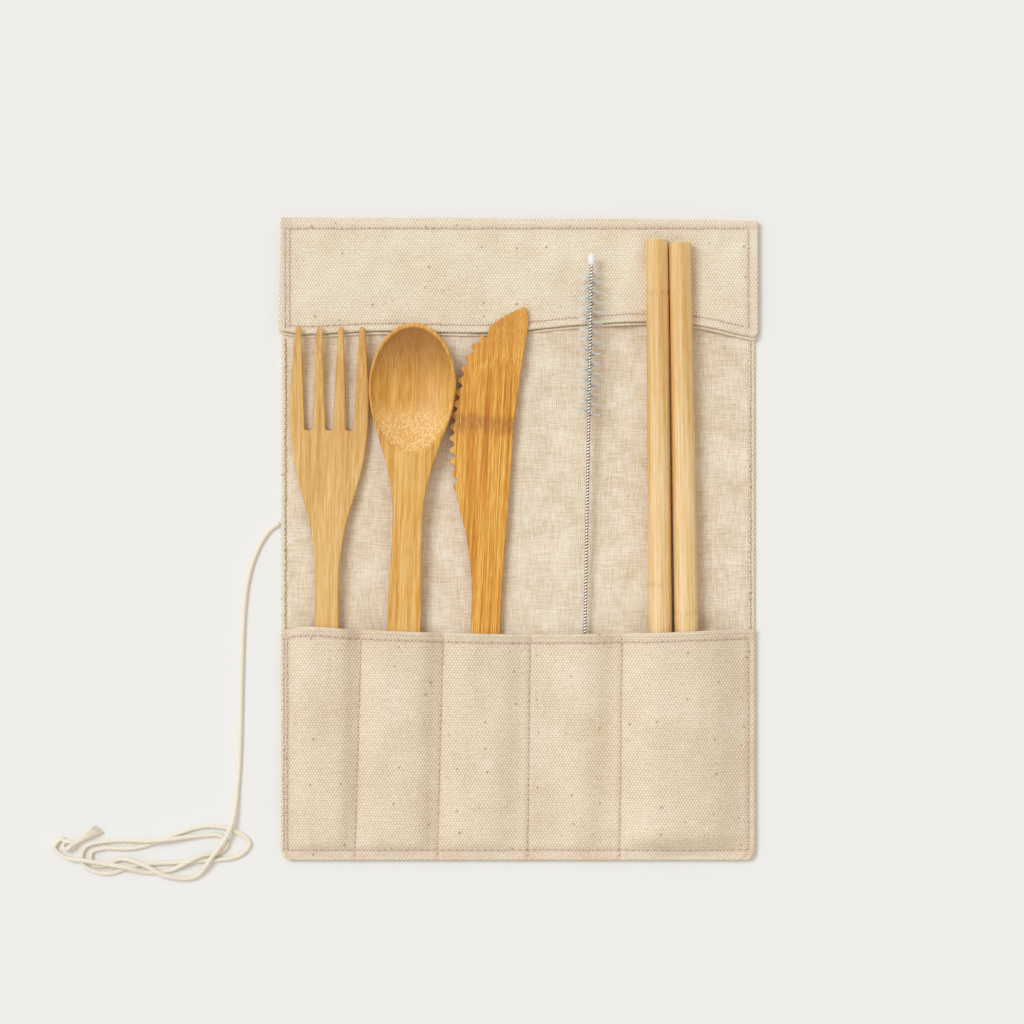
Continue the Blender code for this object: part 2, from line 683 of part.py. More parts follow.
def knife(collection, finish):
    board = cut_board("knife", knife_outline(), 1, lambda along: 0.0, KNIFE_LENGTH, collection, finish)
    bm = bmesh.new()
    bm.from_mesh(board.data)
    grind_start = KNIFE_TOOTH_LINE[0][0] * MM - GRIND_LEAD
    for place, normal in (
        ((0, grind_start, 0), (0, 1, 0)),
        ((-GRIND_LINE, 0, 0), (1, 0, 0)),
    ):
        geometry = [*bm.verts, *bm.edges, *bm.faces]
        bmesh.ops.bisect_plane(bm, geom=geometry, plane_co=place, plane_no=normal)
    bm.to_mesh(board.data)
    bm.free()

    def share_at(place):
        past_start = min(1.0, max(0.0, (place.y - grind_start) / GRIND_RUN))
        edge = follow_mm(KNIFE_TOOTH_LINE, place.y)
        past_line = min(1.0, max(0.0, (-place.x - GRIND_LINE) / (edge - GRIND_LINE)))
        return 1 - past_start * past_line

    give_thickness(board, KNIFE_THICKNESS, KNIFE_EDGE_THICKNESS, share_at)
    board.matrix_world = seat_matrix(KNIFE_SEAT, LAY_HEIGHT + KNIFE_THICKNESS / 2, knife_tilt())


def hollow_share(along):
    """How far a place is from the widest part of the bowl's hollow, as a share of the hollow's reach."""
    if along > BOWL_WIDEST:
        return (along - BOWL_WIDEST) / (SPOON_LENGTH - 2 * BOWL_RIM - BOWL_WIDEST)
    return (along - BOWL_WIDEST) / (BOWL_WIDEST - BOWL_FOOT)


def hollow_half_width(along):
    """Half width of the bowl's hollow: two half ellipses that meet at the widest place."""
    widest = spoon_half_width(BOWL_WIDEST) - BOWL_RIM
    return widest * math.sqrt(max(0.0, 1 - hollow_share(along) ** 2))


def spoon_section(along, half_width):
    """One closed ring of points across the spoon, from the left side over the top and back below."""
    top = spoon_top(along)
    thickness = spoon_thickness(along)
    hollow = min(hollow_half_width(along), half_width - EDGE_ROUNDING * 0.8)
    in_bowl = along > BOWL_FOOT and hollow > EDGE_ROUNDING
    inner = hollow if in_bowl else half_width * 0.6
    edge = min(EDGE_ROUNDING, half_width * 0.4)

    def upper(x):
        if not in_bowl:
            return top
        spread = (x / (spoon_half_width(BOWL_WIDEST) - BOWL_RIM)) ** 2 + hollow_share(along) ** 2
        return top - BOWL_DEPTH * max(0.0, 1 - spread) ** 0.75

    across = [-1, -0.8, -0.45, 0, 0.45, 0.8, 1]
    ring = [(-half_width, top - edge)]
    ring.append((-(half_width - edge * 0.7), top))
    ring += [(inner * u, upper(inner * u)) for u in across]
    ring.append((half_width - edge * 0.7, top))
    ring.append((half_width, top - edge))
    ring.append((half_width, top - thickness + edge * 0.6))
    below = [0.93, 0.62, 0.3, 0, -0.3, -0.62, -0.93]
    ring += [(half_width * u, spoon_underside(along, half_width * u)) for u in below]
    ring.append((-half_width, top - thickness + edge * 0.6))
    return [Vector((x, along, z)) for x, z in ring]


def spoon_stations():
    """Distances from the foot, closer together at the round foot and round the bowl."""
    foot = [SPOON_CORNER * share for share in (0.03, 0.2, 0.52, 1.2)]
    start = BOWL_FOOT - THINNING
    handle = [foot[-1] + (start - foot[-1]) * k / HANDLE_STATIONS for k in range(1, HANDLE_STATIONS + 1)]
    bowl = []
    for k in range(1, BOWL_STATIONS):
        turn = math.pi / 2 * k / BOWL_STATIONS
        bowl.append(start + (SPOON_LENGTH - start) * math.sin(turn))
    return [*foot, *handle, *bowl, SPOON_LENGTH - SPOON_TIP_FLAT]


def spoon(collection, finish):
    rings = []
    for along in spoon_stations():
        half_width = spoon_half_width(along)
        if along < SPOON_CORNER:
            half_width -= SPOON_CORNER - math.sqrt(SPOON_CORNER**2 - (SPOON_CORNER - along) ** 2)
        rings.append(spoon_section(along, half_width))
    count = len(rings[0])
    points = [p for ring in rings for p in ring]
    faces = [tuple(range(count))[::-1], tuple(range(len(points) - count, len(points)))]
    for r in range(len(rings) - 1):
        for k in range(count):
            after = (k + 1) % count
            faces.append((r * count + k, r * count + after, (r + 1) * count + after, (r + 1) * count + k))
    mesh = mesh_of("spoon", points, faces)
    bm = bmesh.new()
    bm.from_mesh(mesh)
    bmesh.ops.recalc_face_normals(bm, faces=bm.faces)
    bm.to_mesh(mesh)
    bm.free()
    board = add_object("spoon", mesh, collection, finish)
    board.data.shade_smooth()
    board.data.set_sharp_from_angle(angle=math.radians(40))
    board.matrix_world = seat_matrix(SPOON_SEAT, LAY_HEIGHT, spoon_tilt())


def turned(name, profile, sides, collection, finish, closed):
    """A shape turned round its own Z axis from (radius, height) points, outer side downwards."""
    mesh = bpy.data.meshes.new(name)
    count = len(profile)
    edges = [(k, k + 1) for k in range(count - 1)]
    if closed:
        edges.append((count - 1, 0))
    mesh.from_pydata([(radius, 0, height) for radius, height in profile], edges, [])
    obj = add_object(name, mesh, collection, finish)
    screw = obj.modifiers.new("Turned", "SCREW")
    screw.steps = sides
    screw.render_steps = sides
    screw.use_merge_vertices = True
    screw.merge_threshold = WELD
    screw.use_smooth_shade = True
    return obj


def along_y():
    """Lays a turned shape down: its Z axis becomes the piece's Y axis."""
    return Matrix.Rotation(-math.pi / 2, 4, "X")


def brush(collection, wire_finish, bristle_finish, tip_finish):
    centre = LAY_HEIGHT + WIRE_DIAMETER / 2
    place = seat_matrix(BRUSH_SEAT, centre, brush_tilt())
    radius = WIRE_DIAMETER / 2
    wire = turned(
        "brush_wire", [(0, BRUSH_LENGTH), (radius, BRUSH_LENGTH), (radius, 0), (0, 0)], 10,
        collection, wire_finish, False,
    )
    wire.matrix_world = place @ along_y()

    core = radius + GAP
    sleeve = core + TUFT_BACKING
    pitch = BRISTLE_LENGTH / TUFT_COUNT
    profile = []
    for k in reversed(range(TUFT_COUNT)):
        middle = BRISTLE_START + pitch * (k + 0.5)
        profile += [
            (sleeve, middle + TUFT_THICKNESS * 0.5),
            (BRISTLE_DIAMETER / 2, middle + TUFT_THICKNESS),
            (BRISTLE_DIAMETER / 2, middle - TUFT_THICKNESS),
            (sleeve, middle - TUFT_THICKNESS * 0.5),
        ]
    profile += [(core, profile[-1][1]), (core, profile[0][1])]
    bristles = turned("brush_bristles", profile, 12, collection, bristle_finish, True)
    bristles.matrix_world = place @ along_y()

    steps = 4
    tip_radius = BRUSH_TIP_DIAMETER / 2
    tip_foot = BRUSH_LENGTH + GAP
    turns = [math.pi / 2 * k / steps for k in range(steps + 1)]
    dome = [(tip_radius * math.sin(turn), -tip_radius * (1 - math.cos(turn))) for turn in turns]
    profile = [(r, tip_foot + BRUSH_TIP_LENGTH + drop) for r, drop in dome]
    profile += [(tip_radius, tip_foot), (0, tip_foot)]
    tip = turned("brush_tip", profile, 12, collection, tip_finish, False)
    tip.matrix_world = place @ along_y()


def straws(collection, finish):
    for index, name in enumerate(("straw_left", "straw_right")):
        length = STRAW_LENGTHS[index]
        foot, top = straw_radius(index, 0), straw_radius(index, length)
        chamfer = EDGE_ROUNDING * 0.6
        profile = [
            (top - chamfer, length), (top, length - chamfer), (foot, chamfer), (foot - chamfer, 0),
            (STRAW_BORE / 2, 0), (STRAW_BORE / 2, length),
        ]
        straw = turned(name, profile, STRAW_SIDES, collection, finish, True)
        place = seat_matrix(STRAW_SEATS[index], LAY_HEIGHT + foot, straw_tilt(index))
        straw.matrix_world = place @ along_y()


def tie_cord(collection, finish):
    exit_place = Vector((PACK_LEFT - GAP, CORD_EXIT_UP, 0))
    route = smooth_route([Vector(p) * MM for p in CORD_ROUTE], 8)
    for point in route:
        point.z = max(point.z, CORD_LOWEST)
    points = evenly(route, CORD_STEP)
    curve = bpy.data.curves.new("tie_cord", "CURVE")
    curve.dimensions = "3D"
    curve.bevel_depth = CORD_DIAMETER / 2
    curve.bevel_resolution = 2
    curve.use_fill_caps = True
    spline = curve.splines.new("POLY")
    spline.points.add(len(points) - 1)
    for target, point in zip(spline.points, points):
        target.co = (*point, 1)
    add_object("tie_cord", curve, collection, finish).location = exit_place

    bm = bmesh.new()
    bmesh.ops.create_uvsphere(bm, u_segments=14, v_segments=8, radius=0.5)
    bmesh.ops.scale(bm, vec=KNOT_SIZE, verts=bm.verts)
    knot_mesh = bpy.data.meshes.new("cord_knot")
    bm.to_mesh(knot_mesh)
    bm.free()
    knot_mesh.shade_smooth()
    add_object("cord_knot", knot_mesh, collection, finish).location = exit_place + KNOT_CENTRE

    bm = bmesh.new()
    bmesh.ops.create_cone(
        bm, cap_ends=True, segments=10, radius1=CORD_DIAMETER / 2, radius2=TAIL_FLARE / 2, depth=TAIL_LENGTH,
    )
    lay_down = Matrix.Rotation(math.pi / 2, 4, "Y")
    flatten = Matrix.Diagonal((1, 1, TAIL_HEIGHT / TAIL_FLARE, 1))
    bmesh.ops.transform(bm, matrix=flatten @ lay_down, verts=bm.verts)
    tail_mesh = bpy.data.meshes.new("cord_tail")
    bm.to_mesh(tail_mesh)
    bm.free()
    turn = math.radians(TAIL_TURN)
    outwards = Vector((math.cos(turn), math.sin(turn), 0))
    reach = KNOT_SIZE.x / 2 + GAP + TAIL_LENGTH / 2
    place = exit_place + KNOT_CENTRE + outwards * reach
    place.z = KNOT_CENTRE.z
    tail = add_object("cord_tail", tail_mesh, collection, finish)
    tail.matrix_world = Matrix.Translation(place) @ Matrix.Rotation(turn, 4, "Z")


def main():
    collection = start_scene()
    cutters = bpy.data.collections.new("Cutters")
    bpy.context.scene.collection.children.link(cutters)

    canvas = material("Unbleached cotton canvas", (0.78, 0.65, 0.47), 0.9)
    plain_cotton = material("Fine cotton lining", (0.83, 0.75, 0.62), 0.9)
    light_bamboo = material("Light bamboo", (0.72, 0.48, 0.25), 0.55)
    golden_bamboo = material("Golden bamboo", (0.70, 0.42, 0.17), 0.55)
    dark_bamboo = material("Streaked bamboo", (0.64, 0.35, 0.14), 0.55)
    pale_bamboo = material("Pale bamboo", (0.76, 0.55, 0.31), 0.5)
    steel = material("Stainless steel wire", (0.55, 0.55, 0.53), 0.3)
    steel.node_tree.nodes["Principled BSDF"].inputs["Metallic"].default_value = 1
    nylon = material("Clear nylon bristle", (0.85, 0.84, 0.80), 0.4)
    white_plastic = material("White plastic", (0.88, 0.87, 0.84), 0.35)
    cotton_cord = material("Cotton cord", (0.82, 0.74, 0.60), 0.95)

    back_canvas(collection, cutters, canvas)
    lining(collection, plain_cotton)
    flap_sheet("flap_lining", FLAP_LINING_BOTTOM, LINING, FLAP_LINING_PROUD, collection, plain_cotton)
    flap_sheet("flap_canvas", FLAP_CANVAS_BOTTOM, CANVAS, 0, collection, canvas)
    pocket_canvas(collection, canvas)
    fork(collection, light_bamboo)
    spoon(collection, golden_bamboo)
    knife(collection, dark_bamboo)
    brush(collection, steel, nylon, white_plastic)
    straws(collection, pale_bamboo)
    tie_cord(collection, cotton_cord)


main()
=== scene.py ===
"""Looks of the open cutlery roll: cotton cloth with sewn pockets, bamboo cutlery, straw brush and tie cord.

The cloth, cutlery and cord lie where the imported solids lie, to within about 1 mm. Tables and shapes are in
millimetres, as is everything up to the function that makes a mesh, which writes metres.
"""

import math
from collections import namedtuple

import bmesh
import bpy
import numpy as np
from mathutils import Matrix, Vector
from mathutils.bvhtree import BVHTree


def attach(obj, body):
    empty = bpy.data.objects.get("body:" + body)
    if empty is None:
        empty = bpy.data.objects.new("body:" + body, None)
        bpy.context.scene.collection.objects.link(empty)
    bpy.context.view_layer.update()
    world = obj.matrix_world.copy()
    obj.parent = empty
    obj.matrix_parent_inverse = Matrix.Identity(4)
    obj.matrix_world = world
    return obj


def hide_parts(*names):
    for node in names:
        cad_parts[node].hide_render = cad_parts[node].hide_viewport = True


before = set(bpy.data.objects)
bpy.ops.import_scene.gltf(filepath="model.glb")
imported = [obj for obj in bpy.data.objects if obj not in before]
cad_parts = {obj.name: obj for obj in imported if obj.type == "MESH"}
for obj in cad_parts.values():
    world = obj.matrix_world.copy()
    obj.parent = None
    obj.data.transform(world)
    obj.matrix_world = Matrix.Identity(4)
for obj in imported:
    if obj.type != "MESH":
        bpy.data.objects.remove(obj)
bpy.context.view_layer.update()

MM = 0.001
GAP = 0.3

# Cloth: sizes of the panels, and lines of their edges as (share of the width, distance) from the left
PACK_WIDTH = 181
PACK_LENGTH = 245
CORNER_RADIUS = 4
CANVAS = 0.8
LINING = 0.4
EDGE_TURN = 2
SEAM_INSET = 4
FLAP_WIDTH = 183
FLAP_DEPTH = 43
FLAP_LINING_PROUD = 1.3
HEM_LINE = ((0, 0), (0.05, 1.2), (0.2, 0), (0.45, 0.5), (0.62, -2.2), (0.77, -3.6), (0.87, -2.6), (1, 2.4))
POCKET_DEPTH = 87.5
POCKET_WIDTHS = (30.6, 31.3, 33.2, 35.1)
DIVIDER_LEANS = (2.5, 2.3, 1.0, 1.0)
MOUTH_LINE = (
    (0, 0.0), (0.03, 1.5), (0.06, 1.9), (0.17, 0.7), (0.45, -0.9), (0.75, -0.6), (0.9, 0.4), (1, 0.8),
)

LINING_BOTTOM = CANVAS + GAP
LINING_TOP = LINING_BOTTOM + LINING
LAY_HEIGHT = LINING_TOP + GAP
FLAP_TOP = LAY_HEIGHT + LINING + GAP + CANVAS
PACK_LEFT = -PACK_WIDTH / 2
PACK_FOOT = -PACK_LENGTH / 2
PACK_HEAD = PACK_LENGTH / 2
SEAM = PACK_FOOT + SEAM_INSET
MOUTH = PACK_FOOT + POCKET_DEPTH
HEM = PACK_HEAD - FLAP_DEPTH

# Where each piece stands: pocket, distance right of the pocket's middle at the mouth, lean to the right in
# degrees, and distance of its foot from the seam
Seat = namedtuple("Seat", "pocket offset lean rise")
FORK_SEAT = Seat(0, 2.25, 0.7, 2.5)
SPOON_SEAT = Seat(1, 0.65, 2.07, 2.5)
KNIFE_SEAT = Seat(2, -0.5, 3.0, 2.5)
BRUSH_SEAT = Seat(3, 3.4, 1.0, 2.5)
STRAW_SEATS = (Seat(4, -10.9, -0.5, 4.9), Seat(4, -0.9, -1.0, 4.9))

# Cutlery
FORK_LENGTH = 197.2
FORK_THICKNESS = 3.0
FORK_TIP_THICKNESS = 1.9
FORK_SIDE = (
    (5, 5.5), (60, 5.0), (100, 4.5), (111, 5.2), (123, 7.3), (132, 9.9),
    (143, 12.8), (155, 14.6), (169, 15.1), (182, 14.5),
)
FORK_RISE = ((0, 0), (60, 1.6), (105, 2.4), (135, 1.0), (155, 0.2), (175, 0.9), (197.2, 3.4))
TINE_LENGTH = 39.5
TINE_PITCH_AT_ROOT = 7.9
TINE_PITCH_AT_TIP = 8.1
SLOT_AT_ROOT = 3.05
TINE_TIP_WIDTH = 2.2
BOARD_CORNER = 4
# Steps of the boards' rounded feet, tine ends and slot roots, and of their rounded edges
FOOT_STEPS = 8
TINE_STEPS = 12
SLOT_STEPS = 10
EDGE_STEPS = 4

SPOON_LENGTH = 198.7
SPOON_THICKNESS = 3.4
SPOON_SIDE = (
    (6, 6.8), (60, 6.6), (93, 6.3), (117, 5.7), (130, 5.9), (141.5, 8.1),
    (151, 10.9), (163.5, 15.0), (170, 16.3), (174.2, 16.6),
)
BOWL_WIDEST = 174.2
BOWL_FOOT = 148.8
BOWL_RIM = 0.7
BOWL_DEPTH = 6.0
BOWL_WALL = 1.8
RIM_THICKNESS = 1.6
SPOON_CORNER = 5
SPOON_EDGE = 0.8
SPOON_COLUMNS = 48
SHOULDER = 14
THINNING = 16

KNIFE_LENGTH = 205.6
KNIFE_THICKNESS = 2.8
KNIFE_EDGE_THICKNESS = 1.3
KNIFE_SPINE = ((5, 5.6), (100, 5.5), (120, 6.0), (158, 6.8), (178, 8.1), (197, 10.1), (202, 10.2))
KNIFE_POINT = ((204.8, 9.4), (205.4, 8.4), (203.7, 4.8), (201.2, 0.5), (197.1, -4.5), (193, -5.2))
KNIFE_BELLY = ((5, 5.6), (93, 5.6), (105, 6.8), (117, 9.2), (129.5, 13.0), (133.5, 14.0))
KNIFE_TOOTH_LINE = (
    (136, 15.1), (144, 16.8), (153, 17.6), (159, 17.8), (168, 16.8),
    (177, 15.2), (185, 12.9), (189.2, 10.8), (193.2, 8.1),
)
TOOTH_COUNT = 14
TOOTH_DEPTH = 2.3
TOOTH_HOOK = 0.9
GRIND_LINE = 3.0
GRIND_LEAD = 8
GRIND_RUN = 10
# The clip is the slanting cut at the point: its width, and where its thinning and its tone start
CLIP_WIDTH = 3.0
CLIP_START = 185
CLIP_TONE_START = 190

WIRE_DIAMETER = 1.7
WIRE_TURN = 2.4
BRUSH_LENGTH = 221
BRISTLE_DIAMETER = 10
BRISTLE_RADIUS = 0.075
BRISTLES_PER_TURN = 90
BRISTLE_SIDES = 3
WIRE_SIDES = 7
BEAD_SIDES = 24
BEAD_DOME = 1.6
BRISTLE_LEAN = 0.42
BRISTLE_START = 163
BRISTLE_LENGTH = 55
TUFT_COUNT = 14
BRUSH_TIP_DIAMETER = 2.7
BRUSH_TIP_LENGTH = 3.8

STRAW_LENGTHS = (228.0, 226.8)
STRAW_FOOT_DIAMETERS = (9.1, 9.4)
STRAW_TOP_DIAMETERS = (8.2, 8.2)
STRAW_BORE = 6.2
# Distances of the growth nodes from each straw's foot
STRAW_NODES = ((95.0, 206.0), (84.0,))
# A node is a low ridge with a groove above it
NODE_RIDGE = 0.1
NODE_GROOVE = 0.12
GROOVE_RISE = 1.4
STRAW_SIDES = 40
BORE_ROWS = 11

# Tie cord: its exit in the shared frame, and its route from there
CORD_DIAMETER = 1.8
CORD_EXIT = (PACK_LEFT - GAP, 6.3, 0)
CORD_LOWEST = 0.95
CORD_ROUTE = (
    (-0.5, 0.0, 1.00), (-4.5, -3.2, 0.95), (-9.0, -10.7, 0.95), (-13.1, -25.4, 0.95),
    (-16.3, -99.8, 0.95), (-19.1, -116.8, 3.00), (-26.3, -127.9, 3.10), (-32.6, -135.1, 1.40),
    (-43.7, -134.7, 2.60), (-52.1, -130.5, 3.10), (-60.9, -128.4, 1.20), (-67.7, -131.0, 0.95),
    (-72.0, -130.0, 0.95), (-72.1, -125.8, 0.95), (-67.7, -124.3, 0.95), (-55.2, -124.1, 0.95),
    (-29.2, -115.9, 0.95), (-17.4, -117.7, 0.95), (-11.8, -122.3, 0.95), (-15.5, -126.9, 0.95),
    (-35.7, -129.4, 0.95), (-54.8, -130.7, 0.95), (-67.0, -133.9, 0.95), (-75.6, -130.3, 0.95),
    (-74.6, -123.9, 0.95), (-63.2, -121.3, 0.95), (-48.3, -121.3, 3.10), (-28.8, -119.3, 0.95),
    (-22.9, -119.4, 0.95), (-20.2, -122.9, 0.95), (-23.9, -126.1, 0.95), (-29.6, -126.8, 2.50),
    (-34.5, -129.0, 3.10), (-42.6, -132.8, 1.00), (-51.7, -133.4, 1.10), (-57.8, -131.7, 3.10),
    (-66.2, -130.2, 3.10), (-74.2, -128.9, 3.10), (-82.6, -127.5, 1.10), (-86.4, -123.9, 0.95),
    (-83.8, -120.3, 1.30),
)
# The overhand knot, from the cord's last point round and out to the tail
KNOT_STRAND = 1.6
KNOT_ROUTE = (
    (0.0, 0.0, 0.0), (1.4, -1.1, 0.7), (3.2, -1.4, 1.3), (4.9, -2.3, 1.0), (4.7, -3.8, 0.3),
    (3.2, -4.1, 0.0), (2.6, -2.9, -0.3), (1.9, -1.9, -0.1), (0.9, -2.5, 0.8), (1.2, -3.9, 1.4),
    (2.7, -4.0, 1.7), (4.2, -2.8, 1.6), (5.9, -1.8, 0.7),
)
TAIL_LENGTH = 11.6
TAIL_TURN = 33
TAIL_FLARE = 3.7
TAIL_HEIGHT = 1.8
TAIL_STEM = 0.6
FIBRE_COUNT = 260
FIBRE_RADII = (0.12, 0.07)
FIBRE_SIDES = 4
# The braid: one turn of its strands along the cord, and how closely its rings and their points stand
BRAID_TURN = 3.8
BRAID_SPACING = 0.3
CORD_SIDES = 16
KNOT_SIDES = 14

# Sewing: distances of the rows from the edges, and the stitch
STITCH_PITCH = 2.7
STITCH_LENGTH = 2.2
THREAD_DIAMETER = 0.5
# Along a stitch: places from end to end, height over the cloth, thickness, and the share of painted shade
# where the thread goes down into the cloth
STITCH_PLACES = (-1, -0.86, -0.6, 0, 0.6, 0.86, 1)
STITCH_BULGE = (-0.18, 0.02, 0.13, 0.16, 0.13, 0.02, -0.18)
STITCH_TAPER = (0.8, 0.95, 1, 1, 1, 0.95, 0.8)
STITCH_HOLE_SHADE = (1, 0.9, 0.1, 0, 0.1, 0.9, 1)
STITCH_SIDES = 6
# How far a stitch strays along its row and to any side, and the share of its length that it has
STITCH_DRIFT = 0.15
STITCH_STRAY = 0.12
STITCH_SHARES = (0.85, 1.1)
# A sewn line: its dip with the extra pull at each stitch, and the swell at each side of it
DIP_DEPTH = 0.28
DIP_WIDTH = 0.65
DIP_PULL = 0.25
SWELL_HEIGHT = 0.12
SWELL_DISTANCE = 1.7
SWELL_WIDTH = 0.8
ROW_POINTS = 60
FLAP_TOP_ROW = 3.8
FLAP_LEFT_ROWS = (2.7, 4.4)
FLAP_RIGHT_ROW = 3.5
FLAP_HEM_ROW = 3.0
MOUTH_ROW = 3.5
FOOT_ROW = 4.0
SIDE_ROW = 2.5
LEFT_EDGE_ROW = 1.1
EDGE_ROW = 1.65
SEAM_TINT_WIDTH = 1.0

# The flap's lower corners are round, and its left edge leans in by this much towards the top
FLAP_CORNER = 2.2
FLAP_LEAN = 0.9
# The outer cloth's turned edge stands this far above the lining
EDGE_STAND = 0.25
# Outside its side and foot rows the pocket panel is turned under, and lies this much higher
BORDER_LIFT = 0.3
# The height of a solid is looked up this far inside its edges
LOOKUP_INSET = 0.4
# Spacing of each cloth's grid of points, up and across
BACK_GRID = (1.1, 1.1)
LINING_GRID = (1.0, 0.95)
FLAP_GRID = (0.7, 1.0)
POCKET_GRID = (0.95, 0.72)
# Swells of each cloth: height, distance between them, seed, and stretch across the cloth
EDGE_SWELLS = ((0.08, 9, 3, 1.0),)
LINING_SWELLS = ((0.1, 7, 21, 1.0), (0.12, 17, 22, 1.0))
FLAP_SWELLS = ((0.35, 26, 7, 0.6), (0.16, 11, 8, 1.0))
FLAP_HEM_SWELLS = ((0.22, 13, 12, 1.0),)
LINING_HEM_SWELLS = ((0.18, 9, 14, 1.0),)
POCKET_SWELLS = ((0.22, 24, 31, 1.0), (0.1, 9, 32, 1.0))

# Free edges of the cloth are turned under: width of the turn, and thickness of the roll
HEM_ROLL = 1.25
LINING_ROLL = 0.9
# Distances from a free edge at which the grid of points has lines
ROLL_STEPS = (0.05, 0.15, 0.3, 0.5, 0.75, 1.0, 1.25, 1.5, 1.8, 2.1)
# How far the top edge of the cloth strays from straight, from left to right
TOP_LINE = ((0, 0.5), (0.04, 0.4), (0.5, 0.0), (0.9, -0.4), (1, -1.0))

# Camera: the photograph is 1024 pixels wide at this scale, and its middle lies over this point
PIXELS_PER_MM = 2.62
FRAME_PIXELS = 1024
VIEW_MIDDLE = (-2.29, 10.5, 3.0)
LENS = 180
SENSOR = 36
FAR_CLIP_METRES = 10

# A wide sun from the left and the far side, a sky a little warmer than it, and the floor
SUN_ENERGY = 1.56
SUN_ANGLE = 26
SUN_COLOUR = "#E8F1FF"
SUN_TOWARDS = (0.56, -0.38, -1.0)
SKY_COLOUR = "#FFFAF3"
SKY_STRENGTH = 0.66
FLOOR_COLOUR = "#F0EFEB"
FLOOR_METRES = 6

# How strongly each bends light
COTTON_IOR = 1.47
BAMBOO_IOR = 1.45
NYLON_IOR = 1.53


def follow(table, at):
    """The value at a distance along a table of (distance, value), on a smooth line through its points."""
    if at <= table[0][0]:
        return table[0][1]
    if at >= table[-1][0]:
        return table[-1][1]
    last = len(table) - 1
    i = next(k for k in range(last) if table[k + 1][0] >= at)
    (x1, y1), (x2, y2) = table[i], table[i + 1]
    x0, y0 = table[max(i - 1, 0)]
    x3, y3 = table[min(i + 2, last)]
    step = x2 - x1
    slope1 = (y2 - y0) / (x2 - x0) * step
    slope2 = (y3 - y1) / (x3 - x1) * step
    t = (at - x1) / step
    return (
        y1 * (1 + 2 * t) * (1 - t) ** 2
        + slope1 * t * (1 - t) ** 2
        + y2 * t * t * (3 - 2 * t)
        - slope2 * t * t * (1 - t)
    )


follow_all = np.vectorize(follow, otypes=[float], excluded=[0])


def smoothstep(low, high, value):
    share = np.clip((value - low) / (high - low), 0, 1)
    return share * share * (3 - 2 * share)


def ridge(distance, width):
    """1 on a line and falling to nothing about two widths from it."""
    return np.exp(-((distance / width) ** 2))


def ripples(x, y, wavelength, seed, stretch=1.0):
    """A soft random surface between about -1 and 1, with the given distance between its swells."""
    random = np.random.default_rng(seed)
    total = np.zeros(np.broadcast(x, y).shape)
    count = 9
    for _ in range(count):
        turn, phase = random.uniform(0, 2 * math.pi, 2)
        size = wavelength * random.uniform(0.7, 1.5)
        total += np.sin(2 * math.pi * (x * math.cos(turn) / stretch + y * math.sin(turn)) / size + phase)
    return total / math.sqrt(count)


def swells(table, x, y):
    """Heights of a cloth's swells, from a table of them."""
    return sum(tall * ripples(x, y, apart, seed, stretch) for tall, apart, seed, stretch in table)


def fine_ends(length, spacing, ends=(0.05, 0.15, 0.3, 0.5, 0.8)):
    """Positions from 0 to a length, about one spacing apart, with more of them close to both ends."""
    inner = np.linspace(0, length, max(2, round((length - 2 * ends[-1]) / spacing)) + 1)
    inner = ends[-1] + inner * (length - 2 * ends[-1]) / length
    return np.concatenate([[0], ends[:-1], inner, length - np.array(ends[:-1])[::-1], [length]])


def blur(values, passes, axis):
    """Evens out a grid of heights along one axis, and leaves its ends as they are."""
    for _ in range(passes):
        moved = np.moveaxis(values, axis, 0).copy()
        moved[1:-1] = (moved[:-2] + 2 * moved[1:-1] + moved[2:]) / 4
        values = np.moveaxis(moved, 0, axis)
    return values


def new_object(name, mesh, finish):
    obj = bpy.data.objects.new(name, mesh)
    bpy.context.scene.collection.objects.link(obj)
    mesh.materials.append(finish)
    return obj


def make_piece(name, points, faces, finish, attributes=None, sharp=60):
    """A smooth-shaded piece from points in millimetres."""
    mesh = bpy.data.meshes.new(name)
    mesh.from_pydata((np.asarray(points, float) * MM).tolist(), [], list(faces))
    for key, values in (attributes or {}).items():
        mesh.attributes.new(key, "FLOAT", "POINT").data.foreach_set("value", np.asarray(values, np.float32))
    mesh.update()
    mesh.shade_smooth()
    mesh.set_sharp_from_angle(angle=math.radians(sharp))
    return new_object(name, mesh, finish)


def grid_faces(rows, columns, first=0, closed=False):
    """Quads between rows of points, with the last column joined to the first if closed."""
    r = np.arange(rows - 1)[:, None]
    c = np.arange(columns if closed else columns - 1)[None, :]
    after = (c + 1) % columns
    corners = [r * columns + c, r * columns + after, (r + 1) * columns + after, (r + 1) * columns + c]
    return first + np.stack([k.ravel() for k in np.broadcast_arrays(*corners)], axis=1)


def rolled(thickness, roll, distance):
    """Thickness of a cloth near a free edge that is turned under, and the dip behind the roll."""
    thick = thickness + (roll - thickness) * (1 - smoothstep(1.1, 1.8, distance))
    return thick, (thick - thickness) / 2 - 0.12 * ridge(distance - 1.9, 0.4)


